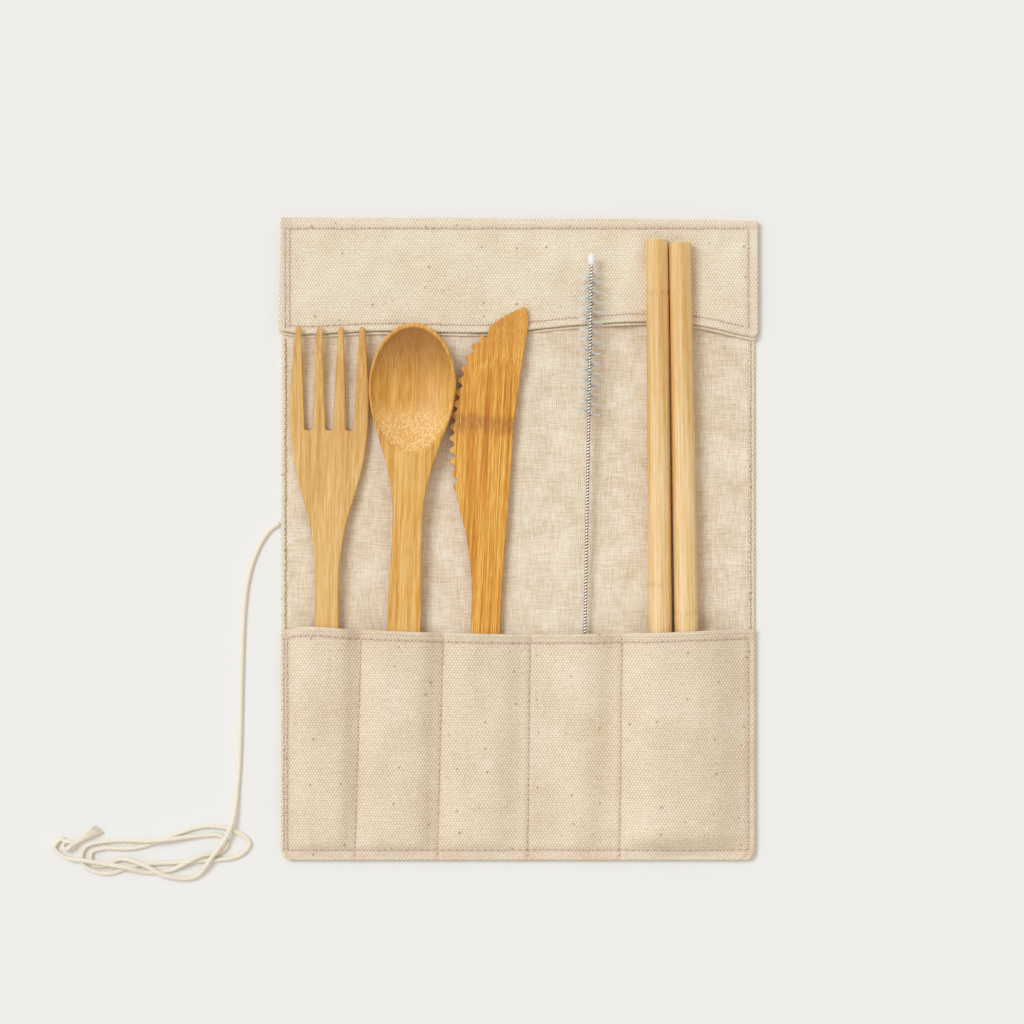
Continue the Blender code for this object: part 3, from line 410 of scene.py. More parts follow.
def cloth_shell(name, x, y, middle, half, finish, attributes=None):
    """A closed cloth from grids of places, middle heights and half thicknesses, with rounded edges."""
    rows, columns = x.shape
    top = np.stack([x, y, middle + half], axis=2).reshape(-1, 3)
    bottom = np.stack([x, y, middle - half], axis=2).reshape(-1, 3)
    up = grid_faces(rows, columns)
    down = grid_faces(rows, columns, rows * columns)[:, ::-1]
    edge = np.zeros((rows, columns), bool)
    edge[[0, -1], :] = True
    edge[:, [0, -1]] = True
    index = np.arange(2 * rows * columns)
    on_edge = np.flatnonzero(edge.ravel())
    index[on_edge + rows * columns] = on_edge
    used, remap = np.unique(index, return_inverse=True)
    points = np.concatenate([top, bottom])
    points[on_edge, 2] = middle.ravel()[on_edge]
    faces = remap[np.concatenate([up, down])]
    doubled = {key: np.concatenate([v.ravel(), v.ravel()])[used] for key, v in (attributes or {}).items()}
    return make_piece(name, points[used], faces.tolist(), finish, doubled, sharp=180)


def rounded_half(thickness, edge):
    """Half thickness of a cloth, full inside and rounded off at its edges, from distances to the edge."""
    half = thickness / 2
    share = np.clip(edge / half, 0, 1)
    return half * np.sqrt(1 - (1 - share) ** 2)


def tree_of(obj):
    """For looking up places on a mesh, in metres."""
    mesh = obj.data
    return BVHTree.FromPolygons([v.co for v in mesh.vertices], [p.vertices for p in mesh.polygons])


def heights(trees, x, y, missing):
    """The highest point of some meshes above each place, or the missing value, in millimetres."""
    found = np.full(x.size, float(missing))
    down = Vector((0, 0, -1))
    for k, (px, py) in enumerate(zip(x.ravel() * MM, y.ravel() * MM)):
        for tree in trees:
            hit = tree.ray_cast(Vector((px, py, 0.1)), down)[0]
            if hit is not None:
                found[k] = max(found[k], hit.z / MM)
    return found.reshape(x.shape)


def pocket_edges():
    """X of the pocket sides at the mouth, from left to right."""
    edges = [PACK_LEFT]
    for width in POCKET_WIDTHS:
        edges.append(edges[-1] + width)
    return [*edges, PACK_LEFT + PACK_WIDTH]


def foot_of(seat):
    edges = pocket_edges()
    y = SEAM + seat.rise
    x_at_mouth = (edges[seat.pocket] + edges[seat.pocket + 1]) / 2 + seat.offset
    return x_at_mouth - (MOUTH - y) * math.tan(math.radians(seat.lean)), y


def seat_matrix(seat, height, tilt=0.0):
    """From a piece's own frame (X across, Y from its foot up, in metres) to where it lies."""
    x, y = foot_of(seat)
    lean = Matrix.Rotation(-math.radians(seat.lean), 4, "Z")
    return Matrix.Translation((x * MM, y * MM, height * MM)) @ lean @ Matrix.Rotation(tilt, 4, "X")


def tilt_over_flap(seat, foot_low, head_low):
    return math.asin((head_low - foot_low) / (HEM - foot_of(seat)[1]))


def hem_edge(x):
    """Y of the flap's hem."""
    return HEM - follow_all(HEM_LINE, x / FLAP_WIDTH + 0.5)


def head_edge(x):
    """Y of the cloth's top edge."""
    return PACK_HEAD + follow_all(TOP_LINE, x / PACK_WIDTH + 0.5)


def mouth_edge(x):
    """Y of the pockets' mouth."""
    return MOUTH + follow_all(MOUTH_LINE, (x - PACK_LEFT) / PACK_WIDTH)


def corner_inset(up, radius):
    """How far a side moves in near a rounded foot corner."""
    reach = np.clip(radius - up, 0, radius)
    return radius - np.sqrt(radius**2 - reach**2)


# Materials
def srgb(code):
    """A linear colour from its sRGB hex code."""
    channels = [int(code[k : k + 2], 16) / 255 for k in (1, 3, 5)]
    return (*[c / 12.92 if c <= 0.04045 else ((c + 0.055) / 1.055) ** 2.4 for c in channels], 1)


def add(tree, kind, inputs=None, output=0, **settings):
    """Adds a node with its settings, values and links, and gives one of its outputs."""
    node = tree.nodes.new(kind)
    for key, value in settings.items():
        setattr(node, key, value)
    for key, value in (inputs or {}).items():
        if isinstance(value, bpy.types.NodeSocket):
            tree.links.new(value, node.inputs[key])
        else:
            node.inputs[key].default_value = value
    return node.outputs[output]


def new_material(name, roughness, ior=1.5, **values):
    """A material and its node tree, with the plain values set on the shader's own sockets."""
    made = bpy.data.materials.new(name)
    made.use_nodes = True
    shader = made.node_tree.nodes["Principled BSDF"]
    shader.inputs["Roughness"].default_value = roughness
    shader.inputs["IOR"].default_value = ior
    for key, value in values.items():
        shader.inputs[key.replace("_", " ")].default_value = value
    return made, made.node_tree, shader


def grain(tree, place, size, detail=2.0, rough=0.5):
    """Noise with its swells about size millimetres apart along X, Y and Z, as a value from 0 to 1."""
    scaled = add(tree, "ShaderNodeMapping", {"Vector": place, "Scale": [1 / (s * MM) for s in size]})
    return add(
        tree, "ShaderNodeTexNoise", {"Vector": scaled, "Scale": 1.0, "Detail": detail, "Roughness": rough}
    )


def sums(tree, *terms):
    """The sum of values, each times its own number."""
    total = 0.0
    for value, factor in terms:
        total = add(tree, "ShaderNodeMath", {0: value, 1: factor, 2: total}, operation="MULTIPLY_ADD")
    return total


def ramp(tree, value, *stops):
    """Colours at positions along a value."""
    node = tree.nodes.new("ShaderNodeValToRGB")
    tree.links.new(value, node.inputs["Fac"])
    elements = node.color_ramp.elements
    while len(elements) < len(stops):
        elements.new(0.5)
    for element, (at, code) in zip(elements, stops):
        element.position = at
        element.color = srgb(code)
    return node.outputs["Color"]


def mix(tree, share, first, second):
    """Two colours mixed; a colour is a socket or a hex code."""
    first, second = [srgb(c) if isinstance(c, str) else c for c in (first, second)]
    return add(tree, "ShaderNodeMix", {0: share, 6: first, 7: second}, output=2, data_type="RGBA")


def attribute(tree, name):
    """A value that the mesh carries at each of its points."""
    return add(tree, "ShaderNodeAttribute", output=2, attribute_name=name)


def dress(tree, shader, colour, height=None, strength=0.0, depth=0.0):
    """Gives the shader a colour, and relief with a depth in millimetres."""
    tree.links.new(colour, shader.inputs["Base Color"])
    if height is not None:
        bump = add(tree, "ShaderNodeBump", {"Strength": strength, "Distance": depth * MM, "Height": height})
        tree.links.new(bump, shader.inputs["Normal"])


def wave(tree, place, turns_x, turns_y):
    """A sine wave over the cloth with so many turns for each millimetre along X and Y, from -1 to 1."""
    vector = (turns_x * 2 * math.pi / MM, turns_y * 2 * math.pi / MM, 0)
    along = add(tree, "ShaderNodeVectorMath", {0: place, 1: vector}, output=1, operation="DOT_PRODUCT")
    return add(tree, "ShaderNodeMath", {0: along}, operation="COSINE")


def object_place(tree):
    return add(tree, "ShaderNodeTexCoord", output=3)


def share_between(tree, value, low, high):
    """0 at one value, 1 at another, and in proportion between them."""
    return add(tree, "ShaderNodeMapRange", {0: value, 1: low, 2: high})


def loosened(tree, place, size, amount):
    """Places moved by up to an amount in millimetres, so that a regular pattern runs as unevenly as yarn."""
    noise = grain(tree, place, (size, size, size), 1.0)
    colour = noise.node.outputs["Color"]
    centred = add(tree, "ShaderNodeVectorMath", {0: colour, 1: (0.5, 0.5, 0.5)}, operation="SUBTRACT")
    moved = add(tree, "ShaderNodeVectorMath", {0: centred, "Scale": 2 * amount * MM}, operation="SCALE")
    return add(tree, "ShaderNodeVectorMath", {0: place, 1: moved}, operation="ADD")


def flecks(tree, place, colour, spot, apart, size):
    """Bits of seed husk left in raw cotton: brown dots of uneven size."""
    cells = add(
        tree, "ShaderNodeTexVoronoi", {"Vector": place, "Scale": 1 / (apart * MM)}, voronoi_dimensions="2D"
    )
    chance = add(tree, "ShaderNodeSeparateColor", {0: cells.node.outputs["Color"]})
    reach = add(tree, "ShaderNodeMath", {0: chance, 1: size / apart}, operation="MULTIPLY")
    spots = add(tree, "ShaderNodeMapRange", {0: cells, 1: reach, 2: 0.0, 3: 0.0, 4: 0.9})
    return mix(tree, spots, colour, spot)


def canvas_material(name, dark, light):
    """Unbleached cotton canvas, woven from thick yarns in a brick pattern of raised beads about 1.2 mm
    apart in rows 1 mm apart. It is dull; the raised yarns are painted lighter in diagonals, a painted
    highlight over their relief. Sewn seams are tinged by their mauve thread."""
    made, tree, shader = new_material(name, 0.92, COTTON_IOR, Sheen_Weight=0.1, Sheen_Roughness=0.6)
    place = loosened(tree, object_place(tree), 3.0, 0.22)
    beads = sums(
        tree,
        (wave(tree, place, 0.859, -0.52), 0.42),
        (wave(tree, place, 0.859, 0.49), 0.28),
        (wave(tree, place, 0.0, 1.01), 0.24),
    )
    yarns = grain(tree, place, (9, 0.8, 5))
    lumps = grain(tree, place, (0.9, 0.9, 0.9), 1.0)
    uneven = grain(tree, place, (20, 20, 20), 3.0)
    # The beads make the canvas lighter on its raised yarns, a painted highlight; the yarns, lumps and uneven
    # patches are the canvas's own tone
    shade = sums(tree, (beads, 0.36), (yarns, 0.22), (lumps, 0.4), (uneven, 0.3))
    colour = mix(tree, share_between(tree, shade, 0.14, 0.78), dark, light)
    seam = attribute(tree, "seam")
    colour = mix(tree, times(tree, seam, 0.3), colour, "#D3AE9A")
    colour = flecks(tree, place, colour, "#9C7346", 11, 0.75)
    dress(tree, shader, colour, beads, 0.6, 0.2)
    return made


def lining_material():
    """Fine cotton sheeting in plain weave, thinner and smoother than the canvas. Its threads show as a
    faint grid, drawn about twice as coarse as real, and single thick threads show as lines."""
    made, tree, shader = new_material(
        "fine cotton sheeting", 0.9, COTTON_IOR, Sheen_Weight=0.1, Sheen_Roughness=0.6
    )
    place = loosened(tree, object_place(tree), 6.0, 0.25)
    across = grain(tree, place, (5, 0.3, 5), 2.0, 0.6)
    along = grain(tree, place, (0.3, 5, 5), 2.0, 0.6)
    patches = grain(tree, place, (12, 12, 12), 2.0)
    grid = sums(tree, (wave(tree, place, 1.32, 0.0), 0.5), (wave(tree, place, 0.0, 1.32), 0.5))
    threads = sums(tree, (across, 0.5), (along, 0.5), (grid, 0.07))
    shade = sums(tree, (threads, 1.0), (patches, 0.3))
    colour = ramp(tree, shade, (0.46, "#CFB794"), (0.62, "#E4D2B5"), (0.78, "#F5EAD6"))
    colour = flecks(tree, place, colour, "#9A7A50", 21, 0.5)
    dress(tree, shader, colour, threads, 0.3, 0.12)
    return made


def bamboo_material(name, tones, streaks, length, details=None, roughness=0.48):
    """Bamboo, cut along its fibres and sanded. Fibre bundles show as streaks about 0.5 mm wide over
    broader bands of tone, with a satin gloss. Streaks is their strength, and length how long they run.
    Details changes the colour, given the places and the finest grain."""
    dark, middle, light = tones
    made, tree, shader = new_material(name, roughness, BAMBOO_IOR)
    place = object_place(tree)
    fine = grain(tree, place, (0.36, length, 0.6), 3.0, 0.65)
    coarse = grain(tree, place, (0.9, 60, 1.5), 2.0)
    bands = grain(tree, place, (7, 90, 9), 1.0)
    dashes = grain(tree, place, (0.42, 6, 0.6), 1.0)
    shade = sums(tree, (fine, 0.7 * streaks), (coarse, 0.45), (bands, 0.3), (dashes, 0.3 * streaks))
    centre = 0.5 * (streaks + 0.75)
    colour = ramp(tree, shade, (centre - 0.17, dark), (centre, middle), (centre + 0.17, light))
    if details:
        colour = details(tree, place, colour, fine)
    dress(tree, shader, colour, fine, 0.25, 0.08)
    return made


def end_grain(tree, place, colour, spot, ground, share):
    """Cut across the fibres, bamboo shows its bundles as pale ovals about 0.9 mm apart."""
    slanted = add(tree, "ShaderNodeMapping", {"Vector": place, "Scale": (1, 0.72, 1)})
    dots = add(tree, "ShaderNodeTexVoronoi", {"Vector": slanted, "Scale": 1 / (0.9 * MM)})
    dots = share_between(tree, dots, 0.2, 0.6)
    return mix(tree, share, colour, mix(tree, dots, spot, ground))


def along_share(tree, place, low, high):
    """0 below one distance from the foot and 1 above another, in millimetres."""
    up = add(tree, "ShaderNodeSeparateXYZ", {0: place}, output=1)
    return add(
        tree, "ShaderNodeMapRange", {0: up, 1: low * MM, 2: high * MM}, interpolation_type="SMOOTHSTEP"
    )


def times(tree, first, second):
    return add(tree, "ShaderNodeMath", {0: first, 1: second}, operation="MULTIPLY")


def from_middle(tree, value, reach):
    """Noise as a distance each way from its middle, in millimetres."""
    return sums(tree, (value, 2 * reach * MM), (-1.0, reach * MM))


def moved_up(tree, place, distance):
    """Places moved along the piece by a distance."""
    return add(
        tree, "ShaderNodeVectorMath", {0: place, 1: add(tree, "ShaderNodeCombineXYZ", {1: distance})},
        operation="ADD",
    )


def less(tree, value):
    return add(tree, "ShaderNodeMath", {0: 1.0, 1: value}, operation="SUBTRACT")


def spoon_details(tree, place, colour, fine):
    """The hollow is cut through the fibres: painted shade darkens its top, and it is streaked in the middle
    and speckled at the foot.
    """
    hollow = attribute(tree, "hollow")
    uneven = moved_up(tree, place, from_middle(tree, fine, 5))
    # Painted shade: the top of the hollow is mixed towards dark brown
    top = times(tree, hollow, along_share(tree, uneven, 170, 196))
    foot = less(tree, along_share(tree, uneven, 160, 170))
    colour = mix(tree, times(tree, top, 0.8), colour, "#9C6630")
    return end_grain(tree, place, colour, "#FAD48F", "#E6AE5E", times(tree, hollow, foot))


def knife_details(tree, place, colour, fine):
    """A growth node crosses the blade as a smudged brown band, and the clip shows cut fibres."""
    ends = grain(tree, place, (0.55, 6, 1), 1.0)
    lower = along_share(tree, moved_up(tree, place, from_middle(tree, ends, 5)), 154, 159)
    upper = less(tree, along_share(tree, moved_up(tree, place, from_middle(tree, ends, 1.5)), 162, 165))
    smudges = share_between(tree, grain(tree, place, (0.6, 2.2, 1), 2.0), 0.3, 0.7)
    smudged = sums(tree, (smudges, 0.5), (1.0, 0.2))
    band = times(tree, times(tree, lower, upper), smudged)
    colour = mix(tree, band, colour, "#9A5418")
    clip = attribute(tree, "clip")
    return end_grain(tree, place, colour, "#E3A850", "#CB8A38", times(tree, clip, 0.55))


def straw_details(tree, place, colour, fine):
    """Near a growth node the skin is blotched, with a faint brown ring in its groove."""
    ring = attribute(tree, "groove")
    blotches = share_between(tree, grain(tree, place, (1.2, 2.5, 1.2), 2.0), 0.35, 0.7)
    return mix(tree, times(tree, ring, blotches), colour, "#B07A3C")


def thread_material():
    """Mauve-brown sewing thread, with painted shade where it goes down through the cloth."""
    made, tree, shader = new_material("sewing thread", 0.8, COTTON_IOR, Sheen_Weight=0.2)
    hole_shade = attribute(tree, "hole_shade")
    twist = grain(tree, object_place(tree), (0.4, 0.4, 0.4), 1.0)
    colour = mix(tree, twist, "#D3B5A4", "#E9D6C6")
    # Where the thread goes down into the cloth its colour darkens to a painted shade
    dress(tree, shader, mix(tree, hole_shade, colour, "#7A5546"))
    return made


def cord_material():
    """Braided cotton cord, undyed: soft and dull, with painted shade between its strands."""
    made, tree, shader = new_material(
        "braided cotton", 0.95, COTTON_IOR, Sheen_Weight=0.25, Sheen_Roughness=0.5
    )
    raised = attribute(tree, "raised")
    fibres = grain(tree, object_place(tree), (0.35, 0.35, 0.35), 2.0)
    # Where the braid is low, between its strands, the colour is a painted shade; on the frayed tail this
    # value is only a random tone for each fibre
    shade = sums(tree, (raised, 0.8), (fibres, 0.3))
    colour = ramp(tree, shade, (0.1, "#D6C29F"), (0.45, "#EFE2CA"), (0.85, "#FBF4E5"))
    dress(tree, shader, colour, fibres, 0.3, 0.1)
    return made


def steel_material():
    """Drawn stainless steel wire, with a painted highlight where a strand faces out and painted shade where
    two strands meet.
    """
    made, tree, shader = new_material("stainless steel wire", 0.3, Metallic=1.0)
    crown = attribute(tree, "crown")
    dress(tree, shader, mix(tree, crown, "#4B443A", "#FBF8F0"))
    return made


def nylon_material():
    """Nylon filament, far finer than thread: the tufts look milky, and the cloth shows through them."""
    made, tree, shader = new_material("clear nylon filament", 0.4, NYLON_IOR, Subsurface_Weight=0.2)
    fibres = grain(tree, object_place(tree), (1.5, 1.5, 1.5), 1.0)
    dress(tree, shader, mix(tree, fibres, "#FBF6EC", "#FFFFFF"))
    return made


def plastic_material():
    """White plastic bead moulded on the wire's end."""
    made, tree, shader = new_material("moulded white plastic", 0.4, 1.5, Subsurface_Weight=0.1)
    uneven = grain(tree, object_place(tree), (1.2, 1.2, 1.2), 1.0)
    dress(tree, shader, mix(tree, uneven, "#ECEAE4", "#FAF9F6"))
    return made


CANVAS_FINISH = canvas_material("unbleached cotton canvas", "#D6B98C", "#FFFAE8")
POCKET_FINISH = canvas_material("pocket canvas", "#CDB086", "#FFF5DF")
LINING_FINISH = lining_material()
FORK_FINISH = bamboo_material("light bamboo", ("#C98F42", "#DEAE63", "#EFC986"), 0.8, 22)
SPOON_FINISH = bamboo_material("golden bamboo", ("#C2822C", "#DEA449", "#F0C377"), 0.85, 26, spoon_details)
KNIFE_FINISH = bamboo_material("streaked bamboo", ("#BE6F12", "#DC962C", "#F1BE5C"), 1.0, 60, knife_details)
STRAW_FINISH = bamboo_material("pale bamboo", ("#D6A359", "#E9C080", "#F8DEAE"), 0.6, 20, straw_details, 0.45)
THREAD_FINISH = thread_material()
CORD_FINISH = cord_material()
STEEL_FINISH = steel_material()
NYLON_FINISH = nylon_material()
PLASTIC_FINISH = plastic_material()


# Camera, light and floor
def camera_and_light():
    scene = bpy.context.scene
    data = bpy.data.cameras.new("camera")
    data.lens = LENS
    data.sensor_width = SENSOR
    camera = bpy.data.objects.new("camera", data)
    scene.collection.objects.link(camera)
    distance = FRAME_PIXELS / PIXELS_PER_MM * LENS / SENSOR
    x, y, z = VIEW_MIDDLE
    camera.location = (x * MM, y * MM, (z + distance) * MM)
    data.clip_end = FAR_CLIP_METRES
    scene.camera = camera

    sun_data = bpy.data.lights.new("key", "SUN")
    sun_data.energy = SUN_ENERGY
    sun_data.angle = math.radians(SUN_ANGLE)
    sun_data.color = srgb(SUN_COLOUR)[:3]
    sun = bpy.data.objects.new("key", sun_data)
    scene.collection.objects.link(sun)
    sun.rotation_euler = Vector(SUN_TOWARDS).to_track_quat("-Z", "Y").to_euler()

    world = bpy.data.worlds.new("soft light")
    world.use_nodes = True
    sky = world.node_tree.nodes["Background"]
    sky.inputs["Color"].default_value = srgb(SKY_COLOUR)
    sky.inputs["Strength"].default_value = SKY_STRENGTH
    scene.world = world
    scene.view_settings.view_transform = "Standard"

    bpy.ops.mesh.primitive_plane_add(size=FLOOR_METRES)
    floor = bpy.context.object
    floor.name = "floor"
    made, _, shader = new_material("pale paper floor", 0.85)
    shader.inputs["Base Color"].default_value = srgb(FLOOR_COLOUR)
    floor.data.materials.append(made)


# Tie cord
def smooth_route(points, steps):
    """Points on a centripetal Catmull-Rom curve through the given ones, so that tight turns stay round."""
    ends = [2 * points[0] - points[1], *points, 2 * points[-1] - points[-2]]
    made = []
    for p0, p1, p2, p3 in zip(ends, ends[1:], ends[2:], ends[3:]):
        t1 = math.sqrt((p1 - p0).length)
        t2 = t1 + math.sqrt((p2 - p1).length)
        t3 = t2 + math.sqrt((p3 - p2).length)
        for step in range(steps):
            t = t1 + (t2 - t1) * step / steps
            a1 = p0.lerp(p1, t / t1)
            a2 = p1.lerp(p2, (t - t1) / (t2 - t1))
            a3 = p2.lerp(p3, (t - t2) / (t3 - t2))
            b1 = a1.lerp(a2, t / t2)
            b2 = a2.lerp(a3, (t - t1) / (t3 - t1))
            made.append(b1.lerp(b2, (t - t1) / (t2 - t1)))
    made.append(points[-1])
    return made


def evenly(points, spacing):
    """The same line as an array with its points about one spacing apart."""
    points = np.array([tuple(p) for p in points], float)
    lengths = np.concatenate([[0], np.cumsum(np.linalg.norm(np.diff(points, axis=0), axis=1))])
    at = np.linspace(0, lengths[-1], max(2, round(lengths[-1] / spacing)) + 1)
    return np.stack([np.interp(at, lengths, points[:, k]) for k in range(points.shape[1])], axis=1)


def frames_along(path):
    """Two directions across a line at each of its points, turning as little as they can."""
    ahead = np.gradient(path, axis=0)
    ahead /= np.linalg.norm(ahead, axis=1)[:, None]
    side = np.cross(ahead[0], (0, 0, 1.0))
    if np.linalg.norm(side) < 0.01:
        side = np.array((1.0, 0, 0))
    sides = []
    for direction in ahead:
        side = side - direction * side.dot(direction)
        side /= np.linalg.norm(side)
        sides.append(side)
    sides = np.array(sides)
    return sides, np.cross(ahead, sides)


def tube(path, radius, sides, first=0):
    """Points and faces of a tube; the radius is one number, one for each ring, or one for each point."""
    across, up = frames_along(path)
    turn = np.linspace(0, 2 * math.pi, sides, endpoint=False)
    if np.ndim(radius) == 1:
        radius = np.reshape(radius, (-1, 1))
    radius = np.broadcast_to(radius, (len(path), sides))
    ring = across[:, None] * np.cos(turn)[None, :, None] + up[:, None] * np.sin(turn)[None, :, None]
    points = path[:, None] + ring * radius[:, :, None]
    faces = [tuple(f) for f in grid_faces(len(path), sides, first, closed=True).tolist()]
    faces.append(tuple(range(first, first + sides))[::-1])
    last = first + (len(path) - 1) * sides
    faces.append(tuple(range(last, last + sides)))
    return points.reshape(-1, 3), faces


def tubes(lines, sides):
    """Points and faces of many tubes together, from their paths and radii."""
    all_points, all_faces, count = [], [], 0
    for path, radius in lines:
        points, faces = tube(path, radius, sides, first=count)
        count += len(points)
        all_points.append(points)
        all_faces += faces
    return np.concatenate(all_points), all_faces


def braid(count, sides, radius):
    """Radii of a braided cord whose strands stand up where they cross, and how far each point is raised."""
    turn = np.linspace(0, 2 * math.pi, sides, endpoint=False)[None, :]
    along = (np.arange(count) * BRAID_SPACING)[:, None] * 2 * math.pi / BRAID_TURN
    raised = np.abs(np.cos(2 * turn + along) * np.cos(2 * turn - along)) ** 0.5
    return radius * (0.84 + 0.16 * raised), raised


def tie_cord():
    route = smooth_route([Vector(p) + Vector(CORD_EXIT) for p in CORD_ROUTE], 8)
    for point in route:
        point.z = max(point.z, CORD_LOWEST)
    path = evenly(route, BRAID_SPACING)
    radii, raised = braid(len(path), CORD_SIDES, CORD_DIAMETER / 2)
    points, faces = tube(path, radii, CORD_SIDES)
    # The raised value also sets the cord's painted shade between its strands
    cord = make_piece("braided_cord", points, faces, CORD_FINISH, {"raised": raised.ravel()})
    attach(cord, "root")
    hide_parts("tie_cord")

    knot_route = smooth_route([Vector(path[-1]) + Vector(p) for p in KNOT_ROUTE], 8)
    knot_path = evenly(knot_route, BRAID_SPACING)
    radii, raised = braid(len(knot_path), KNOT_SIDES, KNOT_STRAND / 2)
    points, faces = tube(knot_path, radii, KNOT_SIDES)
    knot = make_piece("knotted_end", points, faces, CORD_FINISH, {"raised": raised.ravel()})
    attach(knot, "root")
    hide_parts("cord_knot")

    random = np.random.default_rng(5)
    angle = math.radians(TAIL_TURN)
    out = np.array((math.cos(angle), math.sin(angle), 0.0))
    side = np.array((-out[1], out[0], 0.0))
    start = knot_path[-1] - out * 1.0
    along = np.linspace(0, 1, 12)[:, None]
    flare = smoothstep(0.25, 1.0, along)
    fibres, shades = [], []
    for _ in range(FIBRE_COUNT):
        share = random.uniform(-1, 1)
        lift = random.uniform(-1, 1) * math.sqrt(1 - share * share)
        length = TAIL_LENGTH * (0.93 - 0.05 * share + random.uniform(-0.05, 0.03))
        spread = TAIL_STEM + (TAIL_FLARE / 2 - TAIL_STEM) * flare
        height = TAIL_STEM + (TAIL_HEIGHT / 2 - 0.1 - TAIL_STEM) * flare
        sway = 0.12 * np.sin(along * random.uniform(2, 6) + random.uniform(0, 6)) * along
        fibre = start + out * along * length + side * (share * spread + sway)
        fibre = fibre + np.array((0, 0, 1.0)) * (lift * height)
        fibres.append((fibre, np.linspace(*FIBRE_RADII, len(fibre))))
        shades.append(random.uniform(0.35, 0.9))
    points, faces = tubes(fibres, FIBRE_SIDES)
    shades = np.repeat(shades, len(points) // FIBRE_COUNT)
    tail = make_piece("frayed_tail", points, faces, CORD_FINISH, {"raised": shades})
    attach(tail, "root")
    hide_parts("cord_tail")


# Sewing
def stitch_rows(name, rows, surface):
    """Running stitches along rows of places: each thread bulges over the cloth and dips in at both ends."""
    random = np.random.default_rng(len(rows))
    threads = []
    for row in rows:
        path = evenly([Vector((*p, 0)) for p in row], 0.35)
        lengths = np.arange(len(path)) * np.linalg.norm(path[1] - path[0])
        for k in range(int(lengths[-1] / STITCH_PITCH)):
            at = (k + 0.5) * STITCH_PITCH + random.uniform(-STITCH_DRIFT, STITCH_DRIFT)
            reach = STITCH_LENGTH / 2 * random.uniform(*STITCH_SHARES)
            stations = at + reach * np.array(STITCH_PLACES)
            line = np.stack([np.interp(stations, lengths, path[:, c]) for c in (0, 1)], axis=1)
            line += random.uniform(-STITCH_STRAY, STITCH_STRAY, 2)
            z = heights([surface], line[:, 0], line[:, 1], LAY_HEIGHT)
            centre = np.stack([line[:, 0], line[:, 1], z + np.array(STITCH_BULGE)], axis=1)
            threads.append((centre, THREAD_DIAMETER / 2 * np.array(STITCH_TAPER)))
    points, faces = tubes(threads, STITCH_SIDES)
    # The ends of each stitch get painted shade, standing for the shadow in the needle holes
    hole_shade = np.tile(np.repeat(STITCH_HOLE_SHADE, STITCH_SIDES), len(threads))
    stitches = make_piece(name, points, faces, THREAD_FINISH, {"hole_shade": hole_shade})
    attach(stitches, "root")


def seam_dip(distance, along):
    """A sewn line pulls the cloth in, a little more at each stitch, and it swells on both sides."""
    pull = 1 + DIP_PULL * np.sin(2 * math.pi * along / STITCH_PITCH)
    swell = ridge(np.abs(distance) - SWELL_DISTANCE, SWELL_WIDTH)
    return SWELL_HEIGHT * swell - DIP_DEPTH * pull * ridge(distance, DIP_WIDTH)


# Cloth
def back_cloth():
    """The outer canvas: its rolled edge stands up round the lining."""
    up = fine_ends(PACK_LENGTH, BACK_GRID[0])
    share = fine_ends(PACK_WIDTH, BACK_GRID[1]) / PACK_WIDTH
    inset = corner_inset(up, CORNER_RADIUS)[:, None]
    x = PACK_LEFT + inset + share[None, :] * (PACK_WIDTH - 2 * inset)
    y = PACK_FOOT + up[:, None] * (head_edge(x) - PACK_FOOT) / PACK_LENGTH
    side = np.minimum(x - PACK_LEFT - inset, PACK_WIDTH / 2 - inset - x)
    edge = np.minimum(side, np.broadcast_to(np.minimum(up, PACK_LENGTH - up)[:, None], x.shape))
    turn = smoothstep(EDGE_TURN + 0.25, EDGE_TURN - 0.15, edge)
    crown = np.sin(np.pi * np.clip(edge / EDGE_TURN, 0, 1))
    top = CANVAS + (LINING_TOP + EDGE_STAND - CANVAS) * turn * (0.82 + 0.18 * crown)
    top = top + swells(EDGE_SWELLS, x, y) * turn
    half = top / 2 * np.sqrt(1 - (1 - np.clip(edge / 0.7, 0, 1)) ** 2)
    seam = {"seam": 0.2 * ridge(side - EDGE_ROW, SEAM_TINT_WIDTH)}
    cloth = cloth_shell("outer_cloth", x, y, top / 2, half, CANVAS_FINISH, seam)
    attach(cloth, "root")
    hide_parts("back_canvas")
    at = PACK_WIDTH / 2 - EDGE_ROW
    rows = [[(sign * at, MOUTH + 1), (sign * at, HEM - 1)] for sign in (-1, 1)]
    stitch_rows("edge_stitching", rows, tree_of(cloth))


# Soft creases in the lining: where each lies (X, Y), its direction in degrees, length, width and height
CREASES = (
    (79, 72, -8, 16, 2.0, 0.5), (76, 64, 4, 20, 2.4, 0.45), (80, 55, -4, 15, 2.0, 0.4),
    (77, 44, 6, 18, 2.2, 0.4), (79, 31, -5, 14, 2.0, 0.45), (76, 18, 4, 18, 2.3, 0.4),
    (80, 4, -7, 14, 2.0, 0.4), (77, -10, 3, 16, 2.2, 0.35), (-83, 20, 12, 12, 1.8, 0.55),
    (-82, 9, -6, 13, 1.8, 0.6), (-82, 0, 9, 12, 1.7, 0.5), (-83, -12, -8, 12, 1.8, 0.45),
    (-83, 36, 7, 10, 1.8, 0.4), (-58, 10, 84, 24, 2.6, 0.22), (-27, 2, 88, 30, 2.8, 0.2),
    (-18, 40, 95, 24, 2.6, 0.2), (14, 30, 78, 36, 3.2, 0.25), (40, 20, 96, 40, 3.2, 0.22),
    (-50, -22, 20, 16, 2.4, 0.2), (2, -24, -14, 18, 2.4, 0.22),
)


